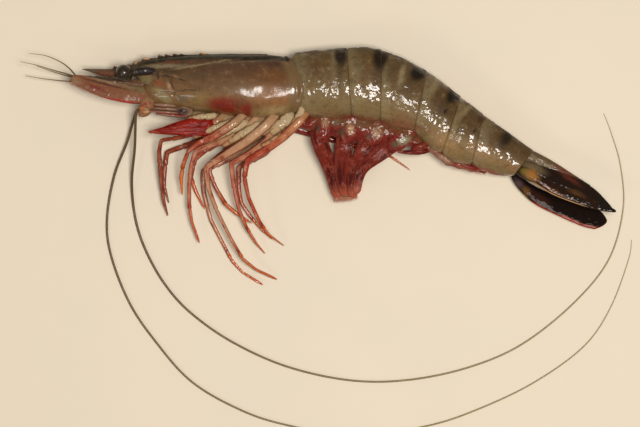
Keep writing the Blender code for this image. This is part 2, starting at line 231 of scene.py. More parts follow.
def uneven(tree, shader, place, fine, coarse, fine_depth, coarse_depth):
    """Bumps at two sizes, in millimetres, for flesh and shell under a wet film."""
    normal = {}
    for size, detail, depth in ((fine, 3.0, fine_depth), (coarse, 2.0, coarse_depth)):
        cloud = add(tree, "ShaderNodeTexNoise", {"Vector": place, **grain(size, detail)})
        bump = add(tree, "ShaderNodeBump", {"Height": cloud.outputs[0], "Strength": 1.0,
                                            "Distance": depth * MM, **normal})
        normal = {"Normal": bump.outputs[0]}
    for socket in ("Normal", "Coat Normal"):
        tree.links.new(bump.outputs[0], shader.inputs[socket])


def film_over(tree, shader, value, dry, wet, least):
    """Lets the film of water come and go: least of it at dry and all of it at wet."""
    film = add(tree, "ShaderNodeMapRange", {0: value, 1: dry, 2: wet, 3: least, 4: 1.0},
               **SMOOTH)
    tree.links.new(film.outputs[0], shader.inputs["Coat Weight"])


def mottle(tree, place, under, dark, light, size, strength):
    """Breaks a colour up with darker and lighter clouds of pigment."""
    cloud = add(tree, "ShaderNodeTexNoise", {"Vector": place, **grain(size, 6.0, 0.65)})
    under = lay(tree, under, dark, cloud.outputs[0], 0.50, 0.30, 0.0, strength)
    return lay(tree, under, light, cloud.outputs[0], 0.54, 0.74, 0.0, strength)


def freckle(tree, place, under, colour, size, strength):
    """Tiny pigment dots, the star-shaped colour cells in a prawn's shell."""
    dots = add(tree, "ShaderNodeTexVoronoi", {"Vector": place, "Scale": 1 / (size * MM)})
    return lay(tree, under, colour, dots.outputs["Distance"], 0.16, 0.42, strength, 0.0)


def flow_of(tree):
    """The piece's own map: how far along it, and how far round."""
    parts = add(tree, "ShaderNodeSeparateXYZ",
                {0: add(tree, "ShaderNodeUVMap", uv_map="flow").outputs[0]})
    return parts.outputs[0], parts.outputs[1]


def streaks(tree, length, around, many_along, many_round, detail):
    """Patches from 0 to 1, repeated so many times along and round the piece's own map."""
    spread = add(tree, "ShaderNodeCombineXYZ", {0: length, 1: around})
    spread = add(tree, "ShaderNodeMapping",
                 {0: spread.outputs[0], "Scale": (many_along, many_round, 1)})
    return add(tree, "ShaderNodeTexNoise", {"Vector": spread.outputs[0], "Scale": 1.0,
                                            "Detail": detail}).outputs[0]


# Colours of the head shell: back, gill cover, cheek, rows behind the eye, grooves.
HEAD_OVALS = (
    ((-47, 2.4), (13, 4.4), "#664827", 2, 0.9, 0.8),
    ((-37, 8.4), (15, 3.4), "#5c3e29", 2, 0.9, 0.85),
    ((-52, 6.6), (6, 2.0), "#50402a", 10, 0.9, 0.8),
    ((-22.5, 11.0), (3.4, 1.3), "#4a2b22", 0, 0.8, 0.9),
    ((-32.0, 9.6), (2.6, 1.4), "#4f3327", 20, 0.9, 0.8),
    ((-41.0, 7.4), (2.2, 1.2), "#7f6048", 0, 0.9, 0.7),
    ((-21, 5.0), (12, 4.6), "#6c431f", -8, 0.9, 0.9),
    ((-22, -2.4), (12, 5.0), "#8d5c2e", -4, 0.9, 0.9),
    ((-52, -3.2), (9, 3.6), "#84693e", 0, 0.9, 0.85),
    ((-45, -8.4), (12, 1.6), "#8c7148", -10, 0.8, 0.8),
    ((-22, -8.2), (10, 2.8), "#a08458", 8, 0.9, 0.95),
    ((-39.5, -5.6), (10.4, 4.2), "#763319", -6, 0.7, 0.92),
    ((-42.6, -5.8), (6.6, 3.2), "#7a1c0a", -10, 0.7, 0.95),
    ((-33.2, -7.6), (2.2, 3.4), "#7a1e0c", 6, 0.6, 0.95),
    ((-36.9, -5.8), (0.8, 3.0), "#56331c", 4, 0.8, 0.7),
    ((-34.6, -4.4), (1.6, 1.6), "#60401f", 0, 0.8, 0.7),
    ((-66.0, 10.2), (9.4, 1.0), "#84775c", 1, 0.8, 0.9),
    ((-63.2, 12.0), (4.4, 0.9), "#6b3b25", 4, 0.8, 0.9),
    ((-64.0, 8.0), (6.6, 1.3), "#43351f", -4, 0.8, 0.9),
    ((-54.8, 10.1), (9.5, 0.5), "#8b7957", 11, 0.7, 0.9),
    ((-41.6, 12.4), (6.0, 0.45), "#8f7c5a", 8, 0.7, 0.9),
    ((-27.0, 13.5), (11, 0.4), "#8a7455", 3, 0.7, 0.9),
    ((-74.2, 4.9), (4.6, 2.2), "#7d6c47", 0, 0.6, 0.95),
    ((-76.0, 3.0), (4.6, 0.45), "#2c2315", -8, 0.7, 0.95),
    ((-68.7, 6.4), (0.55, 2.5), "#34281a", 6, 0.7, 0.95),
    ((-68.0, 3.2), (2.1, 1.8), "#87482a", 0, 0.8, 0.85),
    ((-64.1, 2.1), (1.0, 1.7), "#a8805e", 24, 0.7, 0.85),
    ((-62.8, 2.4), (0.45, 2.4), "#3f2b18", 30, 0.7, 0.9),
    ((-65.0, 6.0), (3.4, 0.4), "#32261a", -8, 0.7, 0.95),
    ((-59.4, 4.7), (3.4, 0.42), "#3a2a1a", -20, 0.7, 0.95),
    ((-66.6, -1.6), (5.6, 2.0), "#8f8059", -42, 0.8, 0.9),
    ((-56.4, 0.4), (5.0, 0.32), "#46341f", 3, 0.7, 0.9),
    ((-58.8, -2.9), (3.4, 1.6), "#6d5a48", 0, 0.8, 0.8),
    ((-66.0, -5.3), (4.2, 0.32), "#543420", -12, 0.7, 0.9),
    ((-59.4, -6.2), (4.4, 0.36), "#54301f", -2, 0.7, 0.9),
)


def make_head_shell_finish():
    """Wet chitin over dark organs: brown, cloudy and glassy, with one broad highlight."""
    finish, tree, shader, place = new_finish("head_chitin", 0.5, 1.0, 0.10, soft=0.04)
    stray = strayed(tree, place, 2.2, 1.0)
    height = add(tree, "ShaderNodeSeparateXYZ", {0: stray}).outputs[1]
    colour = lay(tree, "#7a5832", "#573d26", height, -4 * MM, 12 * MM)
    colour = lay_ovals(tree, stray, colour, HEAD_OVALS)
    colour = mottle(tree, stray, colour, "#40301d", "#98795a", 2.6, 0.5)
    colour = freckle(tree, place, colour, "#3b2817", 0.55, 0.30)
    length, around = flow_of(tree)
    from_ridge = add(tree, "ShaderNodeMath", {0: around, 1: 0.5},
                     operation="PINGPONG").outputs[0]
    colour = lay(tree, colour, "#735a38", length, 0.915, 0.95, 0, 0.85)
    colour = lay(tree, colour, "#3d3222", length, 0.985, 0.998, 0, 0.8)
    cloud = add(tree, "ShaderNodeTexNoise", {"Vector": stray, **grain(3.4)}).outputs[0]
    crest = lay(tree, "#15130a", "#33291a", cloud, 0.44, 0.62)
    wander = add(tree, "ShaderNodeMath", {0: cloud, 1: 0.030, 2: from_ridge},
                 operation="MULTIPLY_ADD").outputs[0]
    colour = lay(tree, colour, crest, wander, 0.122, 0.094, 0, 0.97)
    film_over(tree, shader, from_ridge, 0.08, 0.13, 0.15)
    tree.links.new(colour, shader.inputs["Base Color"])
    uneven(tree, shader, place, 1.4, 7.5, 0.016, 0.06)
    return finish


# Colours between the dark bands of the abdomen, and the red of its lower edge.
TAIL_OVALS = (
    ((-12.0, 8.0), (3.0, 10), "#706144", -4, 0.8, 0.8),
    ((-5.6, 10.0), (2.0, 5.0), "#5a3f22", 0, 0.9, 0.8),
    ((1.6, 10.0), (1.8, 6.0), "#75664a", 0, 0.8, 0.7),
    ((4.0, 8.0), (2.2, 6.0), "#4d3c22", 0, 0.9, 0.6),
    ((11.6, 10.0), (2.0, 6.0), "#6f6144", -2, 0.8, 0.6),
    ((18.6, 6.0), (2.6, 5.0), "#4d3a22", -6, 0.9, 0.7),
    ((28.6, 6.6), (1.4, 6.0), "#8a7a58", -14, 0.8, 0.85),
    ((24.0, 8.6), (2.4, 5.0), "#4f3a22", -10, 0.9, 0.6),
    ((31.0, 1.0), (2.6, 5.0), "#4f3a20", -24, 0.9, 0.6),
    ((41.5, 2.0), (1.9, 6.4), "#82714f", -30, 0.8, 0.8),
    ((44.6, -6.6), (3.4, 4.0), "#4a351d", -38, 0.9, 0.7),
    ((54.6, -7.2), (1.4, 5.4), "#88744f", -40, 0.8, 0.8),
    ((76.6, -20.4), (3.4, 2.4), "#573d24", -38, 0.9, 0.8),
    ((60, -24.0), (9.0, 3.4), "#967650", -28, 0.9, 0.9),
    ((72, -29.6), (8.0, 2.4), "#8a6840", -28, 0.9, 0.9),
    ((46, -20.0), (7.4, 4.8), "#9a784e", -40, 0.9, 0.9),
    ((30, -13.0), (8.0, 4.0), "#805434", -30, 0.9, 0.7),
    ((64, -32.0), (13.0, 1.0), "#8c4636", -20, 0.9, 0.9),
    ((18, -12.2), (24.0, 2.2), "#7a4028", -9, 0.9, 0.75),
)


# The dark bands of the abdomen, one a segment, and the eye-like marks below them.
TAIL_BANDS = (
    ((4.2, 15.8), (2.9, 6.8), "#1e150b", 4, 0.5, 0.96),
    ((20.2, 14.2), (3.6, 6.8), "#1a120a", -6, 0.5, 0.96),
    ((35.9, 8.8), (3.6, 6.2), "#160f08", -34, 0.5, 0.97),
    ((49.7, -1.1), (2.8, 5.0), "#160f08", -42, 0.5, 0.97),
    ((60.4, -10.8), (1.8, 2.6), "#452a17", -38, 0.8, 0.9),
    ((70.6, -18.2), (2.8, 5.0), "#20170c", -34, 0.7, 0.95),
    ((57.6, -15.8), (1.5, 0.7), "#241a12", 50, 0.7, 0.9),
    ((46.0, -8.0), (1.4, 0.7), "#241a12", 50, 0.7, 0.9),
)


def make_tail_shell_finish():
    """Half-dried chitin over grey flesh: olive-tan, dark bands, highlights that break up."""
    finish, tree, shader, place = new_finish("tail_chitin", 0.5, 1.0, 0.05, soft=0.04)
    stray = strayed(tree, place, 3.0, 0.8)
    split = add(tree, "ShaderNodeSeparateXYZ", {0: stray})
    colour = lay(tree, "#624b2b", "#563f22", split.outputs[0], 14 * MM, 46 * MM)
    length, around = flow_of(tree)
    from_ridge = add(tree, "ShaderNodeMath", {0: around, 1: 0.5},
                     operation="PINGPONG").outputs[0]
    colour = lay(tree, colour, "#7c6540", from_ridge, 0.18, 0.34)
    colour = lay(tree, colour, "#4d3d26", from_ridge, 0.16, 0.04, 0, 0.7)
    colour = lay(tree, colour, "#8a7a57", length, 0.42, 0.16, 0, 0.45)
    colour = lay_ovals(tree, stray, colour, TAIL_OVALS)
    colour = mottle(tree, stray, colour, "#3e2e1a", "#968060", 2.4, 0.5)
    colour = lay_ovals(tree, stray, colour, TAIL_BANDS)
    colour = lay(tree, colour, "#2c2213", from_ridge, 0.065, 0.02, 0, 0.75)
    colour = freckle(tree, place, colour, "#3b2b18", 0.5, 0.30)
    colour = lay(tree, colour, "#43331f", length, 0.955, 0.99, 0, 0.4)
    tree.links.new(colour, shader.inputs["Base Color"])
    drying = add(tree, "ShaderNodeTexNoise", {"Vector": place, **grain(9.0, 2.0)}).outputs[0]
    film_over(tree, shader, drying, 0.42, 0.56, 0.12)
    uneven(tree, shader, place, 1.9, 4.6, 0.022, 0.85)
    return finish


def make_limb_finish(name, root, middle, end, rim, pale_until=0.35, glow="#c9987a"):
    """Wet, thin-walled leg shell: pale flesh inside, red pigment at edges and joints."""
    finish, tree, shader, place = new_finish(name, 0.6, 0.8, 0.06, soft=0.04, shine=0.12)
    length, around = flow_of(tree)
    stray = add(tree, "ShaderNodeTexNoise", {"Vector": place, **grain(3.0)}).outputs[0]
    wander = add(tree, "ShaderNodeMath", {0: stray, 1: 0.3, 2: length},
                 operation="MULTIPLY_ADD").outputs[0]
    colour = lay(tree, root, middle, wander, pale_until, pale_until + 0.35)
    colour = lay(tree, colour, end, wander, 0.82, 1.05)
    patch = streaks(tree, length, around, 15, 3.0, 4.0)
    reddening = add(tree, "ShaderNodeMapRange",
                    {0: wander, 1: pale_until, 2: pale_until + 0.3, 3: 0.35, 4: 0.9}, **SMOOTH)
    colour = lay(tree, colour, rim, patch, 0.52, 0.66, 0.0, reddening.outputs[0])
    colour = lay(tree, colour, glow, patch, 0.46, 0.34, 0.0, 0.75)
    colour = mottle(tree, place, colour, rim, glow, 0.9, 0.3)
    side = add(tree, "ShaderNodeMath", {0: around, 1: 0.25}, operation="PINGPONG").outputs[0]
    rim_share = add(tree, "ShaderNodeMapRange", {0: wander, 1: 0.1, 2: 0.5, 3: 0.55, 4: 1.0},
                    **SMOOTH)
    colour = lay(tree, colour, rim, side, 0.16, 0.06, 0.0, rim_share.outputs[0])
    tree.links.new(colour, shader.inputs["Base Color"])
    uneven(tree, shader, place, 0.6, 2.0, 0.02, 0.16)
    return finish


def make_blade_finish(name, base, dark, tip, edge_glow):
    """Wet swimming-leg skin: thin, dark red, with fine rays and a pale frayed end."""
    finish, tree, shader, place = new_finish(name, 0.7, 0.25, 0.12, soft=0.03, shine=0.06)
    length, around = flow_of(tree)
    streak = streaks(tree, length, around, 3.4, 11, 3.0)
    colour = lay(tree, dark, base, streak, 0.34, 0.56)
    folds = add(tree, "ShaderNodeTexNoise", {"Vector": place, **grain(2.6)}).outputs[0]
    colour = lay(tree, colour, edge_glow, folds, 0.50, 0.62, 0, 0.55)
    colour = lay(tree, colour, dark, folds, 0.44, 0.32, 0, 0.45)
    side = add(tree, "ShaderNodeMath", {0: around, 1: 0.25}, operation="PINGPONG").outputs[0]
    colour = lay(tree, colour, edge_glow, side, 0.06, 0.0, 0.0, 0.6)
    colour = lay(tree, colour, tip, length, 0.80, 1.0, 0.0, 0.9)
    tree.links.new(colour, shader.inputs["Base Color"])
    height = add(tree, "ShaderNodeMath", {0: streak, 1: folds}, operation="ADD").outputs[0]
    height = add(tree, "ShaderNodeBump", {"Height": height, "Distance": 0.30 * MM})
    for socket in ("Normal", "Coat Normal"):
        tree.links.new(height.outputs[0], shader.inputs[socket])
    return finish


def make_painted_finish(name, base, ovals=(), clouds=("#000000", "#ffffff", 2.2),
                        strength=0.4, coat=0.6, roughness=0.5, shine=0.2, crease=0.28,
                        edge=None):
    """A wet skin whose colours lie in ovals at known places, with a coloured lower edge."""
    finish, tree, shader, place = new_finish(name, roughness, coat, 0.06, soft=0.03,
                                             shine=shine)
    stray = strayed(tree, place, 2.6, 0.7)
    colour = lay_ovals(tree, stray, base, ovals)
    colour = mottle(tree, stray, colour, *clouds, strength)
    if edge:
        edge_colour, start, stop, wide = edge
        length, around = flow_of(tree)
        low = add(tree, "ShaderNodeMath", {0: around, 1: 0.5}, operation="PINGPONG").outputs[0]
        ending = add(tree, "ShaderNodeMapRange",
                     {0: length, 1: stop + 0.05, 2: stop - 0.05}, **SMOOTH)
        inside = add(tree, "ShaderNodeMapRange",
                     {0: length, 1: start - 0.04, 2: start + 0.04, 4: ending.outputs[0]},
                     **SMOOTH)
        colour = lay(tree, colour, edge_colour, low, 0.5 - wide, 0.5 - wide * 0.6, 0.0,
                     inside.outputs[0])
    tree.links.new(colour, shader.inputs["Base Color"])
    uneven(tree, shader, place, 1.0, 2.8, 0.05 * crease, crease)
    return finish


def make_eye_finish():
    """A black-brown cornea of tiny facets under a film of water."""
    finish, tree, shader, place = new_finish("cornea", 0.4, 1.0, 0.02)
    facets = add(tree, "ShaderNodeTexVoronoi", {"Vector": place, "Scale": 1 / (0.22 * MM)})
    cloud = add(tree, "ShaderNodeTexNoise", {"Vector": place, **grain(1.6)}).outputs[0]
    colour = lay(tree, "#221a10", "#3d2f1e", cloud, 0.35, 0.7)
    tree.links.new(colour, shader.inputs["Base Color"])
    height = add(tree, "ShaderNodeBump", {"Height": facets.outputs["Distance"],
                                          "Strength": 0.25, "Distance": 0.03 * MM})
    tree.links.new(height.outputs[0], shader.inputs["Normal"])
    return finish


def make_feeler_finish():
    """Horny ringed feelers: dark brown near the head, fading to straw at the end."""
    finish, tree, shader, place = new_finish("feeler_horn", 0.42, 0.3, 0.2)
    length = add(tree, "ShaderNodeAttribute", attribute_name="reach").outputs["Fac"]
    patchy = add(tree, "ShaderNodeTexNoise", {"Vector": place, **grain(5.0, 3.0)}).outputs[0]
    wander = add(tree, "ShaderNodeMath", {0: patchy, 1: 0.3, 2: length},
                 operation="MULTIPLY_ADD").outputs[0]
    colour = lay(tree, "#5c472b", "#9a8860", wander, 0.2, 1.0)
    colour = lay(tree, colour, "#b3a27c", wander, 0.9, 1.3)
    tree.links.new(colour, shader.inputs["Base Color"])
    return finish


# ---- the body ------------------------------------------------------------------------
BODY_SIDES = 112
BEAK_TIP, CREST_END = -99.0, -25.0

# Ridge point, lower point, half width and backward bow at stations of the head shell.
HEAD_STATIONS = (
    (-78.2, 9.4, -78.0, 6.6, 0.9, 0.0), (-77.0, 10.4, -76.6, 4.2, 2.4, 0.0),
    (-75.2, 11.4, -75.0, 0.6, 4.0, 0.0), (-73.0, 12.3, -73.0, -3.6, 5.4, 0.0),
    (-70.0, 13.1, -69.6, -5.6, 6.6, 0.0), (-62.0, 14.1, -62.0, -6.4, 8.5, 0.0),
    (-52.0, 14.7, -51.0, -8.1, 10.2, 0.2), (-42.0, 14.9, -41.0, -9.8, 11.0, 0.6),
    (-32.0, 14.9, -30.0, -10.9, 11.2, 1.4), (-23.6, 14.7, -21.6, -10.8, 11.2, 3.0),
    (-16.8, 14.1, -13.2, -8.8, 11.0, 4.6))

# Grooves in the head shell: route, depth and width.
HEAD_GROOVES = (
    (((-67.5, 6.6), (-61.5, 5.2), (-56.0, 2.6)), 0.45, 0.55),
    (((-62.5, -1.4), (-57.0, 0.4), (-49.0, 0.9)), 0.40, 0.45),
    (((-68.0, -0.6), (-64.0, -0.8), (-60.5, -2.6)), 0.40, 0.7),
    (((-66.0, 11.0), (-52.0, 11.5), (-38.0, 12.4), (-20.0, 13.6)), 0.35, 0.6),
)

# Ridge point, lower point and half width where each ring of the abdomen ends.
SEGMENT_EDGES = (
    (-16.1, 15.4, -12.1, -9.9, 10.6), (6.8, 17.5, 8.8, -10.8, 10.9),
    (20.8, 16.6, 20.0, -13.2, 10.7), (38.8, 8.2, 33.2, -17.2, 10.0),
    (52.4, -2.2, 44.4, -25.2, 8.8), (61.6, -9.2, 56.4, -29.8, 7.6),
    (81.4, -23.6, 73.0, -34.0, 5.3))


def pear_rings(stations, heights, sides=BODY_SIDES):
    """Pear-shaped sections, narrow at the ridge and flat where they meet the board."""
    turn = np.arange(sides) * 2 * math.pi / sides
    down = (1 - np.cos(turn)) / 2
    wide = np.sign(np.sin(turn)) * np.abs(np.sin(turn)) ** 0.85 * (0.86 + 0.26 * down)
    bow = stations[:, 5:6] if stations.shape[1] > 5 else 0.0
    x = stations[:, 0:1] + (stations[:, 2:3] - stations[:, 0:1]) * down
    x = x + bow * np.sin(math.pi * np.clip(down, 0, 1)) ** 0.8
    y = stations[:, 1:2] + (stations[:, 3:4] - stations[:, 1:2]) * down
    z = heights[:, None] + wide * stations[:, 4:5]
    return np.stack((x, y, z), axis=-1)


def swell(rings, amount):
    """Moves each point out from its ring's middle by an amount in millimetres."""
    middle = rings.mean(axis=1, keepdims=True)
    away = rings - middle
    away /= np.maximum(np.linalg.norm(away, axis=-1, keepdims=True), 1e-6)
    moved = rings + away * amount[..., None]
    moved[..., 2] = np.maximum(moved[..., 2], 0.0)
    return moved


def near_line(x, y, route):
    """Distance from points to a bent line."""
    nearest = np.full(x.shape, 1e9)
    for (x0, y0), (x1, y1) in zip(route, route[1:]):
        run_x, run_y = x1 - x0, y1 - y0
        share = ((x - x0) * run_x + (y - y0) * run_y) / (run_x ** 2 + run_y ** 2)
        share = np.clip(share, 0, 1)
        nearest = np.minimum(nearest, np.hypot(x - x0 - share * run_x,
                                               y - y0 - share * run_y))
    return nearest


def make_head_shell(finish):
    """The head and thorax shell with its grooves, rear rim and rounded front."""
    place = np.linspace(0, len(HEAD_STATIONS) - 1, 260)
    stations = along(HEAD_STATIONS, place)
    rings = pear_rings(stations, np.full(len(place), MIDDLE))
    x, y, z = rings[..., 0], rings[..., 1], rings[..., 2]
    relief = 0.05 * ripple(x, y, z, 3)
    for route, depth, width in HEAD_GROOVES:
        relief -= depth * np.exp(-(near_line(x, y, route) / width) ** 2)
    share = place[:, None] / place[-1]
    # A hollow over the gills, the raised rear rim, the groove before it, the rim's edge.
    relief -= 0.30 * np.exp(-((y + 0.9) / 2.6) ** 2 - ((x + 26) / 11) ** 2)
    relief += 0.32 * np.exp(-((share - 0.982) / 0.010) ** 2)
    relief -= 0.30 * np.exp(-((share - 0.962) / 0.008) ** 2)
    relief -= 0.9 * step(0.992, 1.0, share)
    return skin("head_shell", [swell(rings, relief)], finish, ["carapace"])


def crest_line(x):
    """The top edge of the beak and the crest behind it, without its teeth."""
    return np.interp(x, *zip((-99.0, 9.3), (-88.0, 9.15), (-84.0, 9.7), (-80.0, 10.5),
                             (-76.0, 12.0), (-70.0, 13.6), (-64.0, 14.5), (-56.0, 15.0),
                             (-40.0, 15.3), (-24.0, 15.2)))


def beak_floor(x):
    """The lower edge of the beak, with the crest's root behind it."""
    return np.interp(x, *zip((-99.0, 9.0), (-95.0, 7.7), (-90.0, 6.2), (-84.0, 5.9),
                             (-79.0, 6.6), (-75.0, 8.6), (-70.0, 11.0), (-60.0, 12.8),
                             (-24.0, 14.2)))


# Teeth of the crest and under the beak: place of the tip, height and length.
CREST_TEETH = ((-86.3, 1.0, 3.0), (-81.2, 0.8, 3.2), (-78.4, 1.2, 3.2), (-74.6, 1.5, 5.0),
               (-68.4, 1.2, 2.6), (-65.8, 0.9, 2.4), (-62.4, 1.0, 2.8), (-59.8, 0.6, 2.6),
               (-51.6, 0.7, 3.4))
BEAK_TEETH = ((-92.2, 0.35, 2.6), (-88.4, 0.35, 2.6))


def saw(x, teeth):
    """Height of a row of teeth whose points lean forward."""
    rise = np.zeros_like(x)
    for tip, tall, long in teeth:
        behind = (x - tip) / long
        front = step(-0.3, 0.0, behind) * (behind < 0)
        back = np.clip(1 - behind, 0, 1) ** 1.3 * (behind >= 0)
        rise = np.maximum(rise, tall * (front + back))
    return rise


def make_beak(finish):
    """The saw-edged beak and the crest that runs back from it, a thin upright blade."""
    x = np.linspace(BEAK_TIP, CREST_END, 520)
    top = crest_line(x) + saw(x, CREST_TEETH)
    low = beak_floor(x) - saw(x, BEAK_TEETH)
    thick = 0.35 + 0.75 * step(BEAK_TIP, -80, x) - 0.45 * step(-60, CREST_END, x)
    turn = np.arange(24) * 2 * math.pi / 24
    up = (1 + np.cos(turn)) / 2
    wide = np.sign(np.sin(turn)) * np.abs(np.sin(turn)) ** 1.2
    rib = 1 + 0.35 * np.exp(-((up - 0.42) / 0.12) ** 2)
    y = low[:, None] + (top - low)[:, None] * up
    z = MIDDLE + thick[:, None] * wide * rib
    rings = np.stack((np.broadcast_to(x[:, None], y.shape), y, z), axis=-1)
    return skin("beak", [rings], finish, [])


def middle_height(place):
    """Height of the middle plane along the abdomen, sinking towards the tail."""
    sink = np.maximum(0.0, (place - 2) / 4)
    return MIDDLE + (TAIL_MIDDLE - MIDDLE) * sink ** 1.3


def make_segments(finish):
    """Six shell rings, each tucked under the one in front and ending in a thin lip."""
    turn = np.arange(BODY_SIDES) / BODY_SIDES
    down = (1 - np.cos(2 * math.pi * turn)) / 2
    for number in range(6):
        tuck = -0.12 if number else -0.02
        share = np.linspace(tuck, 1.0, 90)
        place = np.clip(number + share, 0, 6)
        rings = pear_rings(along(SEGMENT_EDGES, place), middle_height(place))
        x, y, z = rings[..., 0], rings[..., 1], rings[..., 2]
        part = np.broadcast_to(share[:, None], x.shape)
        bulge = 0.30 * np.sin(math.pi * np.clip(part, 0, 1))
        lip = 0.20 * step(0.72, 0.96, part) - 0.30 * step(0.975, 1.0, part)
        tucked = -0.34 * step(0.06, -0.04, part) if number else -1.3 * step(0.16, 0.0, part)
        groove = np.exp(-((part - 0.27) / 0.035) ** 2) * step(0.62, 0.3, down)
        lobe = step(0.86, 1.0, down) * 1.2 * (np.sin(math.pi * np.clip(part, 0, 1)) - 0.6)
        relief = bulge + lip + tucked - 0.22 * groove + lobe
        relief = relief + 0.16 * ripple(x, y, z, 20 + number)
        skin(f"tail_ring_{number + 1}", [swell(rings, relief)], finish,
             [f"abdomen_segment_{number + 1}"])


# ---- limbs and blades ----------------------------------------------------------------
def tube_rings(route, sides=16, step_length=0.45, joints=(), knob=0.16, lens=1.0, tilt=0.0):
    """Oval rings along a smooth route of rows (x, y, z, half width, half thickness)."""
    route = np.asarray(route, dtype=float)
    rough = along(route, np.linspace(0, len(route) - 1, 400))
    travel = np.concatenate(([0], np.cumsum(np.linalg.norm(np.diff(rough[:, :3], axis=0),
                                                           axis=1))))
    count = max(8, int(travel[-1] / step_length))
    even = np.linspace(0, travel[-1], count)
    rows = np.stack([np.interp(even, travel, rough[:, k]) for k in range(5)], axis=-1)
    share = even / travel[-1]
    ahead = np.gradient(rows[:, :3], axis=0)
    ahead /= np.linalg.norm(ahead, axis=1, keepdims=True)
    across = np.cross((0.0, 0.0, 1.0), ahead)
    across /= np.linalg.norm(across, axis=1, keepdims=True)
    over = np.cross(ahead, across)
    across, over = (across * math.cos(tilt) + over * math.sin(tilt),
                    over * math.cos(tilt) - across * math.sin(tilt))
    size = np.ones(count)
    for joint in joints:
        gap = (share - joint) * travel[-1]
        size += knob * np.exp(-((gap + 0.9) / 0.9) ** 2) - 0.28 * np.exp(-(gap / 0.45) ** 2)
    end = np.minimum(share, 1 - share) * travel[-1]
    size = size * np.sqrt(np.clip(end / (rows[:, 3] + 1e-6), 0.02, 1))
    turn = np.arange(sides) * 2 * math.pi / sides
    sine = np.sign(np.sin(turn)) * np.abs(np.sin(turn)) ** lens
    ring = (rows[:, None, :3]
            + across[:, None] * (rows[:, 3] * size)[:, None, None] * np.cos(turn)[None, :, None]
            + over[:, None] * (rows[:, 4] * size)[:, None, None] * sine[None, :, None])
    ring[..., 2] = np.maximum(ring[..., 2], 0.02)
    return ring


def crisp(rows, hold=0.13):
    """Puts a row each side of every corner, so that a limb bends only at its joints."""
    rows = np.asarray(rows, dtype=float)
    kept = [rows[0]]
    for before, here, after in zip(rows, rows[1:], rows[2:]):
        kept += [here + (before - here) * hold, here + (after - here) * hold]
    return [tuple(row) for row in kept + [rows[-1]]]


def rows_of(route, heights, radii, flatness=0.8):
    """Joins (x, y) points to heights and radii spread evenly along them."""
    place = np.linspace(0, 1, len(route))
    level = along([(h,) for h in heights], place * (len(heights) - 1))[:, 0]
    radius = along([(r,) for r in radii], place * (len(radii) - 1))[:, 0]
    return [(x, y, z, r, r * flatness) for (x, y), z, r in zip(route, level, radius)]


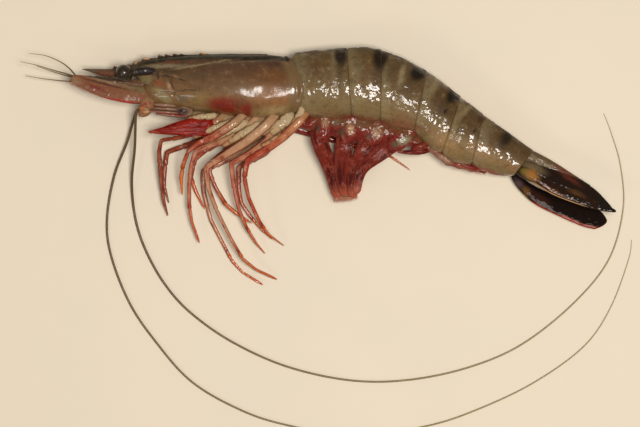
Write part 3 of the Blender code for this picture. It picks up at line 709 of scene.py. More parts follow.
# Route, heights, radii, joints (as shares of the length) and whether it ends in a claw.
LEGS = {
    "maxilliped_left": (
        ((-44.8, -11.6), (-53.0, -16.2), (-60.5, -18.4), (-67.4, -19.4), (-68.4, -24.0),
         (-67.8, -33.6), (-66.8, -43.6), (-65.1, -49.5)),
        (15.6, 14.6, 13.0, 9.0, 4.6, 1.9), (1.7, 1.3, 0.85, 0.95, 1.15, 1.0, 0.3),
        (0.43, 0.66, 0.84), False),
    "maxilliped_right": (
        ((-43.2, -12.8), (-51.0, -19.0), (-58.6, -21.6), (-65.4, -24.0), (-66.4, -29.6),
         (-66.8, -37.0), (-64.8, -44.4)),
        (4.6, 3.8, 2.6, 1.5, 1.3), (1.9, 1.5, 1.1, 1.2, 1.1, 0.3), (0.5, 0.72, 0.88), False),
    "leg_1_left": (
        ((-37.8, -12.4), (-46.4, -18.0), (-52.0, -20.4), (-56.4, -23.6), (-58.8, -29.4),
         (-59.6, -34.4), (-59.4, -39.6)),
        (18.9, 18.6, 17.2, 13.5, 9.0, 6.0), (2.0, 1.8, 1.1, 0.95, 1.1, 0.5),
        (0.5, 0.68, 0.84), True),
    "leg_1_right": (
        ((-38.0, -13.6), (-45.6, -20.4), (-50.8, -23.6), (-54.3, -27.0), (-56.0, -34.0),
         (-54.0, -39.6), (-51.2, -45.2)),
        (1.9, 1.9, 1.6, 1.4, 1.3), (1.6, 1.4, 1.0, 1.1, 0.5), (0.52, 0.7, 0.86), True),
    "leg_2_left": (
        ((-31.6, -13.2), (-40.6, -18.8), (-47.0, -20.8), (-53.4, -23.6), (-55.6, -29.6),
         (-56.4, -37.0), (-56.4, -45.4), (-55.4, -52.0), (-53.0, -58.8)),
        (15.4, 15.2, 13.6, 11.2, 8.6, 7.0, 5.4, 4.0), (2.2, 1.9, 1.2, 1.0, 0.9, 0.45),
        (0.42, 0.66, 0.85), True),
    "leg_2_right": (
        ((-31.8, -14.2), (-39.6, -22.0), (-45.8, -26.6), (-48.4, -31.6), (-46.0, -38.0),
         (-41.8, -45.0), (-37.2, -48.8), (-32.8, -51.6)),
        (5.1, 5.0, 4.9, 4.6, 4.6, 4.6), (1.7, 1.4, 1.0, 0.9, 1.0, 0.5),
        (0.42, 0.66, 0.85), True),
    "leg_3_left": (
        ((-25.2, -13.4), (-33.6, -20.2), (-40.4, -24.4), (-49.4, -30.2), (-48.6, -38.2),
         (-45.4, -47.2), (-39.4, -59.2), (-34.8, -67.0), (-29.6, -71.2), (-22.8, -74.4)),
        (18.9, 18.2, 16.4, 13.6, 12.0, 9.4, 6.0, 3.6, 1.6),
        (2.2, 2.0, 1.35, 0.95, 0.8, 0.8, 0.45), (0.40, 0.62, 0.86), True),
    "leg_3_right": (
        ((-25.4, -14.6), (-33.6, -23.0), (-41.8, -27.0), (-51.0, -31.6), (-50.8, -40.0),
         (-48.0, -51.0), (-43.8, -59.2), (-39.4, -67.6), (-35.2, -72.2), (-28.4, -76.4)),
        (1.9, 1.7, 1.5, 1.5, 1.5, 1.5, 1.3), (1.6, 1.5, 1.1, 0.9, 0.75, 0.45),
        (0.40, 0.62, 0.86), True),
    "leg_4_left": (
        ((-18.6, -13.4), (-26.4, -21.0), (-32.4, -25.0), (-39.4, -28.6), (-38.4, -38.0),
         (-36.8, -46.0), (-33.6, -54.0), (-29.6, -60.6), (-26.0, -64.8)),
        (15.4, 15.0, 13.4, 11.0, 9.4, 6.4, 3.4, 1.4), (2.2, 1.7, 1.2, 0.9, 0.8, 0.25),
        (0.42, 0.60, 0.86), False),
    "leg_4_right": (
        ((-18.8, -14.8), (-26.0, -24.0), (-31.4, -27.0), (-36.6, -30.2), (-36.6, -38.6),
         (-35.6, -44.4), (-31.8, -50.0), (-27.0, -55.6), (-23.2, -59.0)),
        (5.0, 4.6, 4.0, 3.6, 3.0, 2.2, 1.4), (1.7, 1.5, 1.0, 0.85, 0.25),
        (0.42, 0.60, 0.86), False),
    "leg_5_left": (
        ((-11.8, -11.6), (-18.4, -18.0), (-25.0, -23.0), (-32.8, -27.4), (-34.2, -34.2),
         (-32.6, -42.2), (-28.4, -51.6), (-24.4, -57.2), (-18.4, -61.6)),
        (19.2, 18.6, 17.4, 14.4, 12.0, 9.0, 5.0, 1.4), (1.9, 1.8, 1.3, 0.95, 0.85, 0.25),
        (0.42, 0.56, 0.86), False),
    "leg_5_right": (
        ((-15.0, -13.8), (-8.0, -16.0), (2.0, -19.2), (14.0, -22.4), (24.4, -25.6),
         (32.4, -31.2)),
        (2.9, 2.2, 1.7, 1.5, 1.5), (2.3, 1.9, 1.1, 0.8, 0.2), (0.3, 0.6, 0.84), False),
}


def make_legs(finishes):
    """Jaw-feet and walking legs, with knobbed joints and claws on the first three."""
    for name, (route, heights, radii, joints, claw) in LEGS.items():
        slim = [r * (0.96 - 0.2 * i / (len(radii) - 1)) for i, r in enumerate(radii)]
        rows = rows_of(route, heights, slim)
        (x0, y0, z0, wide, _), (x1, y1, *_) = rows[:2]
        hidden = z0 + (MIDDLE - z0) * 0.85
        rows.insert(0, (x0 + (x0 - x1) * 0.6, y0 + (y0 - y1) * 0.9, hidden, wide, wide))
        fingers = claw_fingers(rows) if claw else []
        if claw:
            end, before = np.array(rows[-1]), np.array(rows[-2])
            back = (before - end) / np.linalg.norm((before - end)[:3])
            rows[-1] = (*(end + back * 2.2)[:3], 0.55, 0.5)
        shells = [tube_rings(crisp(rows), joints=joints, step_length=0.35)] + fingers
        spans = [(0, 1)] + [(0.9, 1)] * (len(shells) - 1)
        skin(name + "_shell", shells, finishes[name], [name], spans)


def claw_fingers(rows):
    """Two thin closed fingers that carry a leg on past its last joint."""
    end, before = np.array(rows[-1]), np.array(rows[-2])
    ahead = (end - before)[:3] / np.linalg.norm((end - before)[:3])
    across = np.cross((0, 0, 1.0), ahead)
    steps = ((-2.9, 0.16, 0.38, 0.38), (-0.4, 0.24, 0.28, 0.28), (1.9, 0.12, 0.06, 0.06))
    return [tube_rings([(*(end[:3] + ahead * far + across * sign * apart), wide, thick)
                        for far, apart, wide, thick in steps], sides=10, step_length=0.25)
            for sign in (1, -1)]


# Fleshy roots of the swimming legs: start, end and half width.
SWIM_ROOTS = (
    ((-1.8, -10.6), (-3.2, -20.4), 3.3), ((8.8, -11.0), (6.2, -20.8), 3.6),
    ((20.2, -12.8), (15.4, -21.4), 3.9), ((31.6, -15.2), (23.4, -23.2), 3.7),
    ((38.6, -21.2), (32.4, -22.8), 1.3))


# Swimming-leg blades from the root out: route and half widths, then the half thickness.
SWIM_BLADES = (
    (((-3.6, -11.2), (-4.2, -19.0), (0.2, -31.0), (3.4, -42.8)), (3.2, 3.4, 2.8, 2.0)),
    (((8.6, -11.8), (5.6, -22.0), (5.0, -33.0), (6.4, -42.0)), (3.4, 3.7, 2.9, 2.1)),
    (((19.2, -14.0), (13.4, -22.6), (9.4, -32.2), (9.2, -42.4)), (3.4, 3.0, 2.2, 1.9)),
    (((30.0, -17.0), (20.4, -24.0), (12.8, -31.2), (10.4, -41.0)), (3.8, 3.4, 2.2, 1.6)),
    (((40.6, -22.6), (37.0, -23.8), (32.0, -24.1), (27.0, -23.8)), (1.1, 1.1, 0.9, 0.5)))
SWIM_THICKNESS = (0.9, 0.6, 0.42, 0.4)


def make_swimming_legs(blade, base):
    """Five pairs: a pale fleshy root, then a long dark red blade."""
    for side, sign in SIDES:
        for number, (route, widths) in enumerate(SWIM_BLADES, start=1):
            top = MIDDLE + sign * 4.2
            tip = (7.2 if sign > 0 else 1.1) + 1.3 * (number - 1)
            heights = (top - sign * 4.5, top - sign * 1.6, tip + (top - tip) * 0.3, tip)
            rows = [(x, y, z, w, t) for (x, y), z, w, t
                    in zip(route, heights, widths, SWIM_THICKNESS)]
            skin(f"swim_blade_{number}_{side}", [tube_rings(rows, sides=28, lens=1.4)],
                 blade, [f"pleopod_{number}_{side}"])
            (x0, y0), (x1, y1), wide = SWIM_ROOTS[number - 1]
            rows = [(x0, y0 + 4.0, top - sign * 2.6, wide * 0.9, 1.6),
                    (x0, y0 + 0.6, top - sign * 1.2, wide * 1.1, 1.5),
                    ((x0 + x1) / 2, (y0 + y1) / 2, top - sign * 0.8, wide, 1.2),
                    (x1, y1, top - sign * 1.2, wide * 0.9, 0.8)]
            rings = tube_rings(rows, sides=32)
            x, y, z = rings[..., 0], rings[..., 1], rings[..., 2]
            folds = 0.4 * ripple(x * 1.5, y * 1.5, z, 40 + number)
            skin(f"swim_root_{number}_{side}", [swell(rings, folds)], base, [])


EYE_CENTRE = (-82.2, 7.6)
EYE_RADIUS = 3.3

# Stalks, scales and roots on each side of the head: how far out they lie, rows of x, y,
# shift outwards, half width and half thickness, the tube's shape, and what it is.
SCALE_TILT = 0.16
HEAD_TUBES = {
    "eye_stalk": (EYE_OUT, (
        (-80.0, 7.9, -0.2, 2.2, 2.0), (-77.6, 8.0, -0.2, 1.7, 1.7),
        (-73.0, 8.2, -0.1, 1.7, 1.6), (-68.4, 7.8, -1.2, 1.0, 1.0)),
        dict(sides=20), "eye_stalk_skin", None, "eye"),
    "feeler_stalk": (FEELER_OUT, (
        (-71.0, 3.6, 0, 2.0, 1.9), (-77.4, 3.0, 0, 2.0, 1.8), (-86.0, 3.9, 0, 1.7, 1.5),
        (-94.0, 5.0, 0, 1.3, 1.3), (-102.4, 6.0, 0, 0.9, 0.8)),
        dict(sides=20, joints=(0.45, 0.75), knob=0.08),
        "feeler_stalk_chitin", "antennule_stalk", "head_limb"),
    "scale": (SCALE_OUT, (
        (-66.0, -1.6, -4.4, 2.6, 0.8), (-70.6, -1.3, -2.6, 3.0, 0.8),
        (-75.4, -1.2, -0.8, 3.3, 0.7), (-80.0, -1.0, 0, 3.5, 0.6),
        (-88.0, 0.6, 0, 3.5, 0.5), (-94.0, 2.4, 0, 3.1, 0.45),
        (-99.4, 4.2, 0, 2.4, 0.4), (-103.6, 5.2, 0, 1.5, 0.35)),
        dict(sides=40, lens=1.5), "scale_chitin", "antennal_scale", "head_limb"),
    "antenna_root": (ANTENNA_OUT, (
        (-70.0, -2.6, -0.8, 2.0, 1.2), (-72.4, -4.2, -0.1, 3.0, 1.4),
        (-73.6, -6.4, -0.1, 2.8, 1.4), (-74.8, -8.4, -0.3, 1.9, 1.2),
        (-76.2, -9.6, 0, 1.0, 1.0)),
        dict(sides=24, joints=(0.55,), knob=0.02),
        "antenna_root_chitin", "antenna_base", "head_limb"),
}

# Thin palps and lips below the head shell: start, end, half width and lift.
MOUTH_STRIPS = (
    (-73.0, -4.8, -60.0, -5.6, 0.9, 1.8), (-72.6, -6.2, -58.0, -7.4, 0.75, 2.3),
    (-72.0, -7.6, -58.6, -8.8, 0.6, 1.9), (-69.6, -8.8, -56.4, -9.9, 0.6, 1.4),
    (-62.4, -7.0, -54.6, -8.6, 1.9, 2.0))


def make_head_parts(finishes):
    """Eyes, feeler stalks, scales, antenna roots and mouthparts."""
    for side, sign in SIDES:
        level = MIDDLE + sign * EYE_OUT
        skin(f"eyeball_{side}", [ball_rings(*EYE_CENTRE, level, EYE_RADIUS)],
             finishes["cornea"], [f"eye_{side}"])
        for piece, (out, rows, shape, substance, node, slot) in HEAD_TUBES.items():
            route = [(x, y, MIDDLE + sign * out + sign * shift, wide, thick)
                     for x, y, shift, wide, thick in rows]
            tilt = sign * SCALE_TILT if piece == "scale" else 0.0
            skin(f"{piece}_{side}", [tube_rings(route, tilt=tilt, **shape)],
                 finishes[substance], [f"{node}_{side}"] if node else [])
        level = MIDDLE + sign * MOUTH_OUT
        strips = [tube_rings([(x0, y0, level - sign, 0.5, 1.2),
                              ((x0 + x1) / 2, y0 - 0.6, level + sign * lift, wide, 1.5),
                              (x1, y1, level - sign * 0.6, wide * 0.8, 1.3)], sides=20)
                  for x0, y0, x1, y1, wide, lift in MOUTH_STRIPS]
        skin(f"mouth_{side}", strips, finishes["mouth_flesh"], [f"mouthparts_{side}"])


def ball_rings(x, y, z, radius, sides=36):
    """A ball as round rings whose middles lie along X."""
    turn = -np.arange(sides) * 2 * math.pi / sides
    return [[(x - radius * math.cos(pole), y + radius * math.sin(pole) * math.cos(t),
              z + radius * math.sin(pole) * math.sin(t)) for t in turn]
            for pole in np.linspace(0.02, math.pi - 0.02, 40)]


# Fleshy leg roots on the near side: start, end and half width, from jaw to tail.
LEG_ROOTS = (
    ((-45.0, -9.2), (-56.8, -10.8), 1.5), ((-37.6, -11.2), (-54.6, -18.2), 1.7),
    ((-32.6, -11.6), (-49.4, -20.6), 1.8), ((-27.4, -12.2), (-43.0, -21.8), 1.9),
    ((-22.0, -11.4), (-36.4, -22.8), 2.3), ((-14.4, -8.4), (-25.6, -18.4), 2.7))
LAST_ROOT = ((-10.4, -3.8), (-12.2, -9.6), (-17.0, -16.2), (-27.6, -21.8))


def make_thorax(finish, root_finish):
    """The pale underside between the legs and the lobes that the legs grow from."""
    rows = [(-56.0, -8.6, MIDDLE, 1.4, 3.0), (-46.0, -10.8, MIDDLE, 3.0, 4.6),
            (-34.0, -12.6, MIDDLE, 4.0, 5.4), (-22.0, -12.8, MIDDLE, 4.2, 5.6),
            (-12.0, -11.0, MIDDLE, 2.6, 4.6)]
    skin("underside", [tube_rings(rows, sides=32)], finish, ["thorax_underside"])
    lobes = []
    for sign in (1, -1):
        for number, (start, end, wide) in enumerate(LEG_ROOTS):
            level = MIDDLE + sign * (6.6 - 0.5 * (number % 2))
            middle = [(a + b) / 2 for a, b in zip(start, end)]
            rows = [(*start, level - sign * 1.2, wide * 0.8, 1.6),
                    ((start[0] + middle[0]) / 2, (start[1] + middle[1]) / 2 - 0.3,
                     level, wide, 1.7),
                    (*middle, level + sign * 0.2, wide * 0.95, 1.6),
                    (*end, level - sign * 0.8, wide * 0.5, 1.0)]
            lobes.append(tube_rings(rows, sides=24, joints=(0.42,), knob=0.04))
        rows = [(x, y, MIDDLE + sign * z, wide, 1.5) for (x, y), z, wide
                in zip(LAST_ROOT, (6.4, 7.4, 7.6, 6.8), (1.2, 1.7, 1.7, 0.9))]
        lobes.append(tube_rings(rows, sides=24, joints=(0.3, 0.62), knob=0.08))
    skin("leg_roots", lobes, root_finish, [])


def make_belly(finish):
    """The dark red flesh that the swimming legs grow out of."""
    rows = [(-16.0, -13.4, MIDDLE + 1.0, 1.0, 2.4), (-10.0, -12.6, MIDDLE + 0.6, 2.8, 3.6),
            (-2.0, -11.8, MIDDLE, 4.6, 4.2), (8.0, -13.6, MIDDLE, 6.2, 4.4),
            (19.0, -15.6, MIDDLE, 5.6, 4.4),
            (30.0, -18.0, MIDDLE - 0.4, 3.8, 4.2), (40.0, -22.2, MIDDLE - 1.0, 2.0, 3.4),
            (44.4, -25.6, MIDDLE - 1.3, 1.7, 2.8), (48.0, -27.4, MIDDLE - 1.6, 2.0, 2.6),
            (56.0, -30.0, MIDDLE - 2.2, 1.6, 2.2), (63.0, -32.0, MIDDLE - 2.6, 0.7, 1.6)]
    rings = tube_rings(rows, sides=48)
    x, y, z = rings[..., 0], rings[..., 1], rings[..., 2]
    folds = 0.5 * ripple(x * 1.4, y * 1.4, z, 31) - 0.5 * np.abs(ripple(x, y * 0.6, z, 32))
    skin("belly", [swell(rings, folds)], finish, [])


def make_jaw_blades(finish):
    """The red, leaf-like branches of the jaw-feet."""
    for (side, sign), level in zip(SIDES, (18.6, 7.0)):
        shells = []
        for shift, long in ((0.0, 1.0), (2.0, 0.86), (-1.6, 0.9)):
            rows = [(-46.0, -14.2 + shift * 0.8, level - sign * 2.4, 2.0, 0.7),
                    (-54.0, -14.4 + shift, level - sign * 0.6, 1.9, 0.6),
                    (-54.0 - 9.0 * long, -14.9 + shift * 0.5, level, 1.5, 0.5),
                    (-54.0 - 18.6 * long, -16.2 + shift * 0.1, level, 0.3, 0.3)]
            shells.append(tube_rings(rows, sides=24, lens=1.5, tilt=0.18))
        skin(f"jaw_blade_{side}", shells, finish,
             [f"jaw_foot_blade_{side}"])


# Rows of x, y, z, half width and half thickness, how lens-like the edge is, and the slot.
TAIL_BLADES = {
    "telson": (((74.6, -24.6, 7.4, 3.2, 3.0), (79.0, -26.0, 7.4, 3.3, 2.9),
                (84.0, -28.2, 7.8, 3.1, 2.2),
                (90.0, -31.0, 8.2, 2.5, 1.6), (97.0, -34.4, 8.4, 1.5, 1.0),
                (104.4, -37.6, 8.6, 0.2, 0.4)), 1.0, "telson"),
    "uropod_inner_left": (((74.6, -28.0, 8.4, 1.4, 1.6), (78.0, -29.6, 10.4, 2.2, 1.4),
                           (84.0, -32.4, 11.8, 3.0, 1.0), (94.0, -36.8, 12.0, 4.0, 0.7),
                           (103.0, -41.4, 11.2, 3.9, 0.5), (108.4, -44.4, 10.6, 2.4, 0.4),
                           (113.0, -47.0, 10.0, 0.5, 0.3)), 1.2, "uropod"),
    "uropod_outer_left": (((74.2, -30.8, 9.0, 1.2, 1.6), (76.6, -31.8, 11.4, 2.2, 1.8),
                           (79.6, -33.2, 13.2, 2.5, 1.9), (83.0, -35.2, 13.4, 2.1, 1.3),
                           (90.0, -39.0, 13.4, 2.4, 0.8), (100.0, -43.0, 13.2, 2.2, 0.6),
                           (108.0, -45.8, 12.4, 1.7, 0.4), (114.4, -47.8, 11.8, 0.5, 0.3)),
                          1.2, "uropod_base"),
    "uropod_inner_right": (((76.6, -29.6, 3.9, 1.6, 1.0), (86.0, -34.6, 4.1, 2.9, 0.7),
                            (96.0, -39.6, 4.1, 3.3, 0.6), (108.6, -45.8, 3.9, 0.6, 0.4)),
                           1.2, "uropod"),
    "uropod_outer_right": (((73.4, -31.6, 5.0, 1.3, 1.6), (75.2, -34.6, 4.0, 2.0, 1.4),
                            (78.6, -38.2, 2.8, 2.6, 1.0), (84.4, -42.2, 2.2, 3.4, 0.8),
                            (94.0, -46.5, 1.9, 3.8, 0.6), (103.0, -49.8, 1.8, 4.3, 0.5),
                            (108.6, -51.2, 1.8, 4.0, 0.45), (111.4, -51.7, 1.8, 2.9, 0.35)),
                           1.2, "uropod"),
}


def make_tail_fan(finishes):
    """The pointed telson and the folded blades of the tail fan."""
    for name, (rows, lens, slot) in TAIL_BLADES.items():
        tilt = -0.22 if "uropod" in name else 0.0
        rings = tube_rings(rows, sides=40, step_length=0.35, lens=lens, tilt=tilt)
        skin(name + "_blade", [rings], finishes[name + "_chitin"], [name])


# ---- feelers and bristles ------------------------------------------------------------
def path_mesh(name, points, radii):
    """A bare line of points, in millimetres, with a radius at each."""
    mesh = bpy.data.meshes.new(name)
    edges = [(i, i + 1) for i in range(len(points) - 1)]
    mesh.from_pydata([tuple(np.array(point[:3]) * MM) for point in points], edges, [])
    layer = mesh.attributes.new("thickness", "FLOAT", "POINT")
    layer.data.foreach_set("value", [radius * MM for radius in radii])
    return mesh


def new_tree(name, sockets):
    """A geometry tree with named number inputs and their first values."""
    tree = bpy.data.node_groups.new(name, "GeometryNodeTree")
    face = tree.interface
    face.new_socket("Geometry", in_out="INPUT", socket_type="NodeSocketGeometry")
    for label, value in sockets.items():
        kind = "NodeSocketInt" if isinstance(value, int) else "NodeSocketFloat"
        face.new_socket(label, in_out="INPUT", socket_type=kind).default_value = value
    face.new_socket("Geometry", in_out="OUTPUT", socket_type="NodeSocketGeometry")
    start = add(tree, "NodeGroupInput").outputs
    return tree, start


def feeler_tree(finish):
    """Turns a line into a ringed, tapering feeler."""
    tree, start = new_tree("ringed_feeler", {"Ring pitch": 0.0012, "Ring depth": 0.03})
    line = add(tree, "GeometryNodeMeshToCurve", {"Mesh": start["Geometry"]})
    fine = add(tree, "GeometryNodeResampleCurve",
               {"Curve": line.outputs[0], "Length": 0.0004}, mode="LENGTH")
    share = add(tree, "GeometryNodeSplineParameter")
    wide = add(tree, "GeometryNodeInputNamedAttribute", {"Name": "thickness"},
               data_type="FLOAT")
    turns = add(tree, "ShaderNodeMath", {0: share.outputs["Length"], 1: start["Ring pitch"]},
                operation="DIVIDE")
    angle = add(tree, "ShaderNodeMath", {0: turns.outputs[0], 1: 2 * math.pi},
                operation="MULTIPLY")
    wave = add(tree, "ShaderNodeMath", {0: angle.outputs[0]}, operation="SINE")
    swing = add(tree, "ShaderNodeMath", {0: wave.outputs[0], 1: start["Ring depth"], 2: 1.0},
                operation="MULTIPLY_ADD")
    radius = add(tree, "ShaderNodeMath", {0: wide.outputs[0], 1: swing.outputs[0]},
                 operation="MULTIPLY")
    marked = add(tree, "GeometryNodeStoreNamedAttribute",
               {"Geometry": fine.outputs[0], "Name": "reach",
                "Value": share.outputs["Factor"]}, data_type="FLOAT", domain="POINT")
    ring = add(tree, "GeometryNodeCurvePrimitiveCircle", {"Resolution": 8, "Radius": 1.0})
    tube = add(tree, "GeometryNodeCurveToMesh",
               {"Curve": marked.outputs[0], "Profile Curve": ring.outputs[0],
                "Scale": radius.outputs[0], "Fill Caps": True})
    shaded = add(tree, "GeometryNodeSetShadeSmooth", {"Geometry": tube.outputs[0]})
    real = add(tree, "GeometryNodeRealizeInstances", {"Geometry": shaded.outputs[0]})
    done = add(tree, "GeometryNodeSetMaterial", {"Geometry": real.outputs[0],
                                                 "Material": finish})
    add(tree, "NodeGroupOutput", {"Geometry": done.outputs[0]})
    return tree


def bake(name, mesh, tree, values, finish, nodes):
    """Runs a tree on a mesh, keeps the result as a plain piece and settles it."""
    guide = bpy.data.objects.new(name + "_guide", mesh)
    bpy.context.scene.collection.objects.link(guide)
    maker = guide.modifiers.new("maker", "NODES")
    maker.node_group = tree
    for item in tree.interface.items_tree:
        if item.item_type == "SOCKET" and item.name in values:
            maker[item.identifier] = values[item.name]
    graph = bpy.context.evaluated_depsgraph_get()
    result = bpy.data.meshes.new_from_object(guide.evaluated_get(graph))
    guide.modifiers.remove(maker)
    bpy.data.objects.remove(guide)
    result.name = name
    if not result.materials:
        result.materials.append(finish)
    return settle(bpy.data.objects.new(name, result), nodes)


# Routes of the long antennae and of the short forked feelers.
INNER_ANTENNA = (
    (-76.4, -7.2), (-77.6, -9.4), (-78.2, -22.0), (-79.6, -36.0), (-78.4, -50.0),
    (-74.4, -62.8), (-66.6, -76.8), (-56.0, -88.6), (-38.8, -100.6), (-16.4, -110.5),
    (9.5, -115.9), (33.2, -115.4), (56.9, -110.2), (77.5, -101.1), (98.0, -84.8),
    (112.2, -67.2), (118.0, -46.9), (117.0, -29.6), (113.2, -16.1), (110.2, -8.3))
OUTER_ANTENNA = (
    (-76.6, -7.2), (-78.3, -9.2), (-81.4, -19.6), (-86.8, -33.6), (-89.7, -50.8),
    (-88.1, -65.4), (-80.8, -84.3), (-70.5, -99.7), (-56.0, -116.0), (-37.0, -127.2),
    (-18.1, -133.6), (10.8, -138.2), (39.6, -134.0), (60.1, -127.2), (82.2, -116.6),
    (102.0, -102.3), (112.8, -86.8), (120.2, -67.2), (121.4, -59.2))
SHORT_FEELERS = {
    "left_1": ((-101.6, 6.4), (-104.0, 9.2), (-107.6, 11.9), (-114.0, 14.6), (-120.6, 15.4)),
    "left_2": ((-101.6, 6.0), (-106.0, 7.4), (-111.6, 9.0), (-118.0, 10.9), (-124.0, 12.2)),
    "right_1": ((-101.6, 5.8), (-105.0, 6.5), (-109.0, 7.6), (-113.3, 9.0), (-117.6, 10.6)),
    "right_2": ((-101.6, 4.6), (-105.0, 4.4), (-109.7, 4.8), (-116.0, 5.6), (-122.2, 6.7)),
}


def make_feelers(finish):
    """Two long antennae on the board and four short feelers in front of the head."""
    tree = feeler_tree(finish)
    for side, sign, route in (("left", 1, INNER_ANTENNA), ("right", -1, OUTER_ANTENNA)):
        place = np.linspace(0, len(route) - 1, 320)
        flat = along(route, place)
        share = place / place[-1]
        top = MIDDLE + sign * ANTENNA_OUT
        radius = 0.60 - 0.34 * share ** 0.8 - 0.15 * share ** 6
        level = radius + 0.12 + (top - 0.7) * (1 - step(0.0, 0.21, share))
        mesh = path_mesh(f"antenna_line_{side}", np.column_stack((flat, level)), radius)
        bake(f"long_antenna_{side}", mesh, tree, {"Ring pitch": 0.0013}, finish,
             [f"antenna_{side}"])
    for name, route in SHORT_FEELERS.items():
        side = name.split("_")[0]
        level = MIDDLE + (FEELER_OUT if side == "left" else -FEELER_OUT)
        place = np.linspace(0, len(route) - 1, 60)
        flat, share = along(route, place), place / place[-1]
        radius = 0.34 - 0.22 * share
        mesh = path_mesh(f"feeler_line_{name}", np.column_stack((flat, level - 3 * share)),
                         radius)
        bake(f"short_feeler_{name}", mesh, tree, {"Ring pitch": 0.0009}, finish,
             [f"antennule_feeler_{name}"])


def bristle_tree(finish):
    """Plants tapering bristles along a line, each leaning the way the line's arrow says."""
    tree, start = new_tree("bristle_row", {"Count": 60, "Length": 0.0012,
                                           "Thickness": 0.00007, "Spread": 0.30,
                                           "Seed": 1})
    line = add(tree, "GeometryNodeMeshToCurve", {"Mesh": start["Geometry"]})
    dots = add(tree, "GeometryNodeCurveToPoints",
               {"Curve": line.outputs[0], "Count": start["Count"]}, mode="COUNT")
    lean = add(tree, "GeometryNodeInputNamedAttribute", {"Name": "lean"},
               data_type="FLOAT_VECTOR")
    low = add(tree, "ShaderNodeVectorMath", {0: (-1, -1, -1), "Scale": start["Spread"]},
              operation="SCALE")
    high = add(tree, "ShaderNodeVectorMath", {0: (1, 1, 1), "Scale": start["Spread"]},
               operation="SCALE")
    stray = add(tree, "FunctionNodeRandomValue",
                {"Min": low.outputs[0], "Max": high.outputs[0], "Seed": start["Seed"]},
                data_type="FLOAT_VECTOR")
    aim = add(tree, "ShaderNodeVectorMath", {0: lean.outputs[0], 1: stray.outputs[0]},
              operation="ADD")
    turned = add(tree, "FunctionNodeAlignRotationToVector", {"Vector": aim.outputs[0]},
                 axis="Z")
    hair = add(tree, "GeometryNodeMeshCone",
               {"Vertices": 5, "Radius Top": 0.0, "Radius Bottom": start["Thickness"],
                "Depth": start["Length"]})
    size = add(tree, "FunctionNodeRandomValue", {2: 0.55, 3: 1.15, "Seed": start["Seed"]},
               data_type="FLOAT")
    row = add(tree, "GeometryNodeInstanceOnPoints",
              {"Points": dots.outputs[0], "Instance": hair.outputs[0],
               "Rotation": turned.outputs[0], "Scale": size.outputs[1]})
    real = add(tree, "GeometryNodeRealizeInstances", {"Geometry": row.outputs[0]})
    done = add(tree, "GeometryNodeSetMaterial", {"Geometry": real.outputs[0],
                                                 "Material": finish})
    add(tree, "NodeGroupOutput", {"Geometry": done.outputs[0]})
    return tree


HIGH, LOW = MIDDLE + SCALE_OUT, MIDDLE - SCALE_OUT

# Rows of bristles: name, route, which way they lean, how many and how long.
FRINGES = (
    ("scale_left", ((-104.6, 4.4, HIGH), (-99.0, 1.2, HIGH), (-90.0, -2.0, HIGH),
                    (-80.0, -4.4, HIGH)), (-0.8, -0.6, 0), 90, 1.3),
    ("scale_right", ((-104.6, 4.4, LOW), (-99.0, 1.2, LOW), (-90.0, -2.0, LOW)),
     (-0.8, -0.6, 0), 60, 1.3),
    ("swim_tips", ((1.6, -42.4, 7.2), (5.0, -42.2, 8.2), (8.0, -42.0, 9.4),
                   (11.0, -41.0, 9.6)), (0.05, -1, -0.15), 260, 2.2),
    ("swim_tips_low", ((1.6, -42.2, 1.4), (6.8, -42.0, 2.6), (10.8, -40.8, 3.8)),
     (0.05, -1, 0), 160, 2.0),
    ("last_swim_leg", ((30.0, -24.4, 10.4), (35.0, -24.8, 10.6), (40.0, -23.6, 10.4)),
     (-0.2, -1, -0.1), 120, 0.9),
    ("tail_belly", ((41.0, -24.0, 9.6), (44.6, -27.2, 9.4), (48.4, -29.0, 9.0),
                    (56.0, -31.0, 8.2), (62.0, -32.3, 7.8)), (0.45, -1, 0), 190, 1.5),
    ("jaw_foot", ((-67.9, -34.0, 7.4), (-67.0, -43.4, 4.0), (-65.2, -49.4, 2.2)),
     (-0.8, -0.6, 0), 60, 1.0),
)


def make_bristles(finish):
    """Fringes of fine hair on blades, jaw-feet and the underside of the tail."""
    tree = bristle_tree(finish)
    for seed, (name, points, lean, count, length) in enumerate(FRINGES):
        mesh = path_mesh(f"{name}_line", points, [0.1] * len(points))
        layer = mesh.attributes.new("lean", "FLOAT_VECTOR", "POINT")
        layer.data.foreach_set("vector", list(lean) * len(points))
        bake(f"bristles_{name}", mesh, tree,
             {"Count": count, "Length": length * MM, "Seed": seed}, finish, [])


# ---- stage ---------------------------------------------------------------------------
def make_floor():
    """A plain pale board."""
    finish = bpy.data.materials.new("pale_board")
    finish.use_nodes = True
    tree = finish.node_tree
    shader = tree.nodes["Principled BSDF"]
    place = add(tree, "ShaderNodeTexCoord").outputs["Object"]
    cloud = add(tree, "ShaderNodeTexNoise", {"Vector": place, **grain(60, 3.0)}).outputs[0]
    colour = lay(tree, "#dfd3bd", "#e3d5bd", cloud, 0.3, 0.7)
    tree.links.new(colour, shader.inputs["Base Color"])
    shader.inputs["Roughness"].default_value = 0.55
    mesh = bpy.data.meshes.new("floor")
    half = 3.0
    mesh.from_pydata([(-half, -half, 0), (half, -half, 0), (half, half, 0),
                      (-half, half, 0)], [], [(0, 1, 2, 3)])
    mesh.materials.append(finish)
    floor = bpy.data.objects.new("floor", mesh)
    floor.location.z = -0.0002
    bpy.context.scene.collection.objects.link(floor)


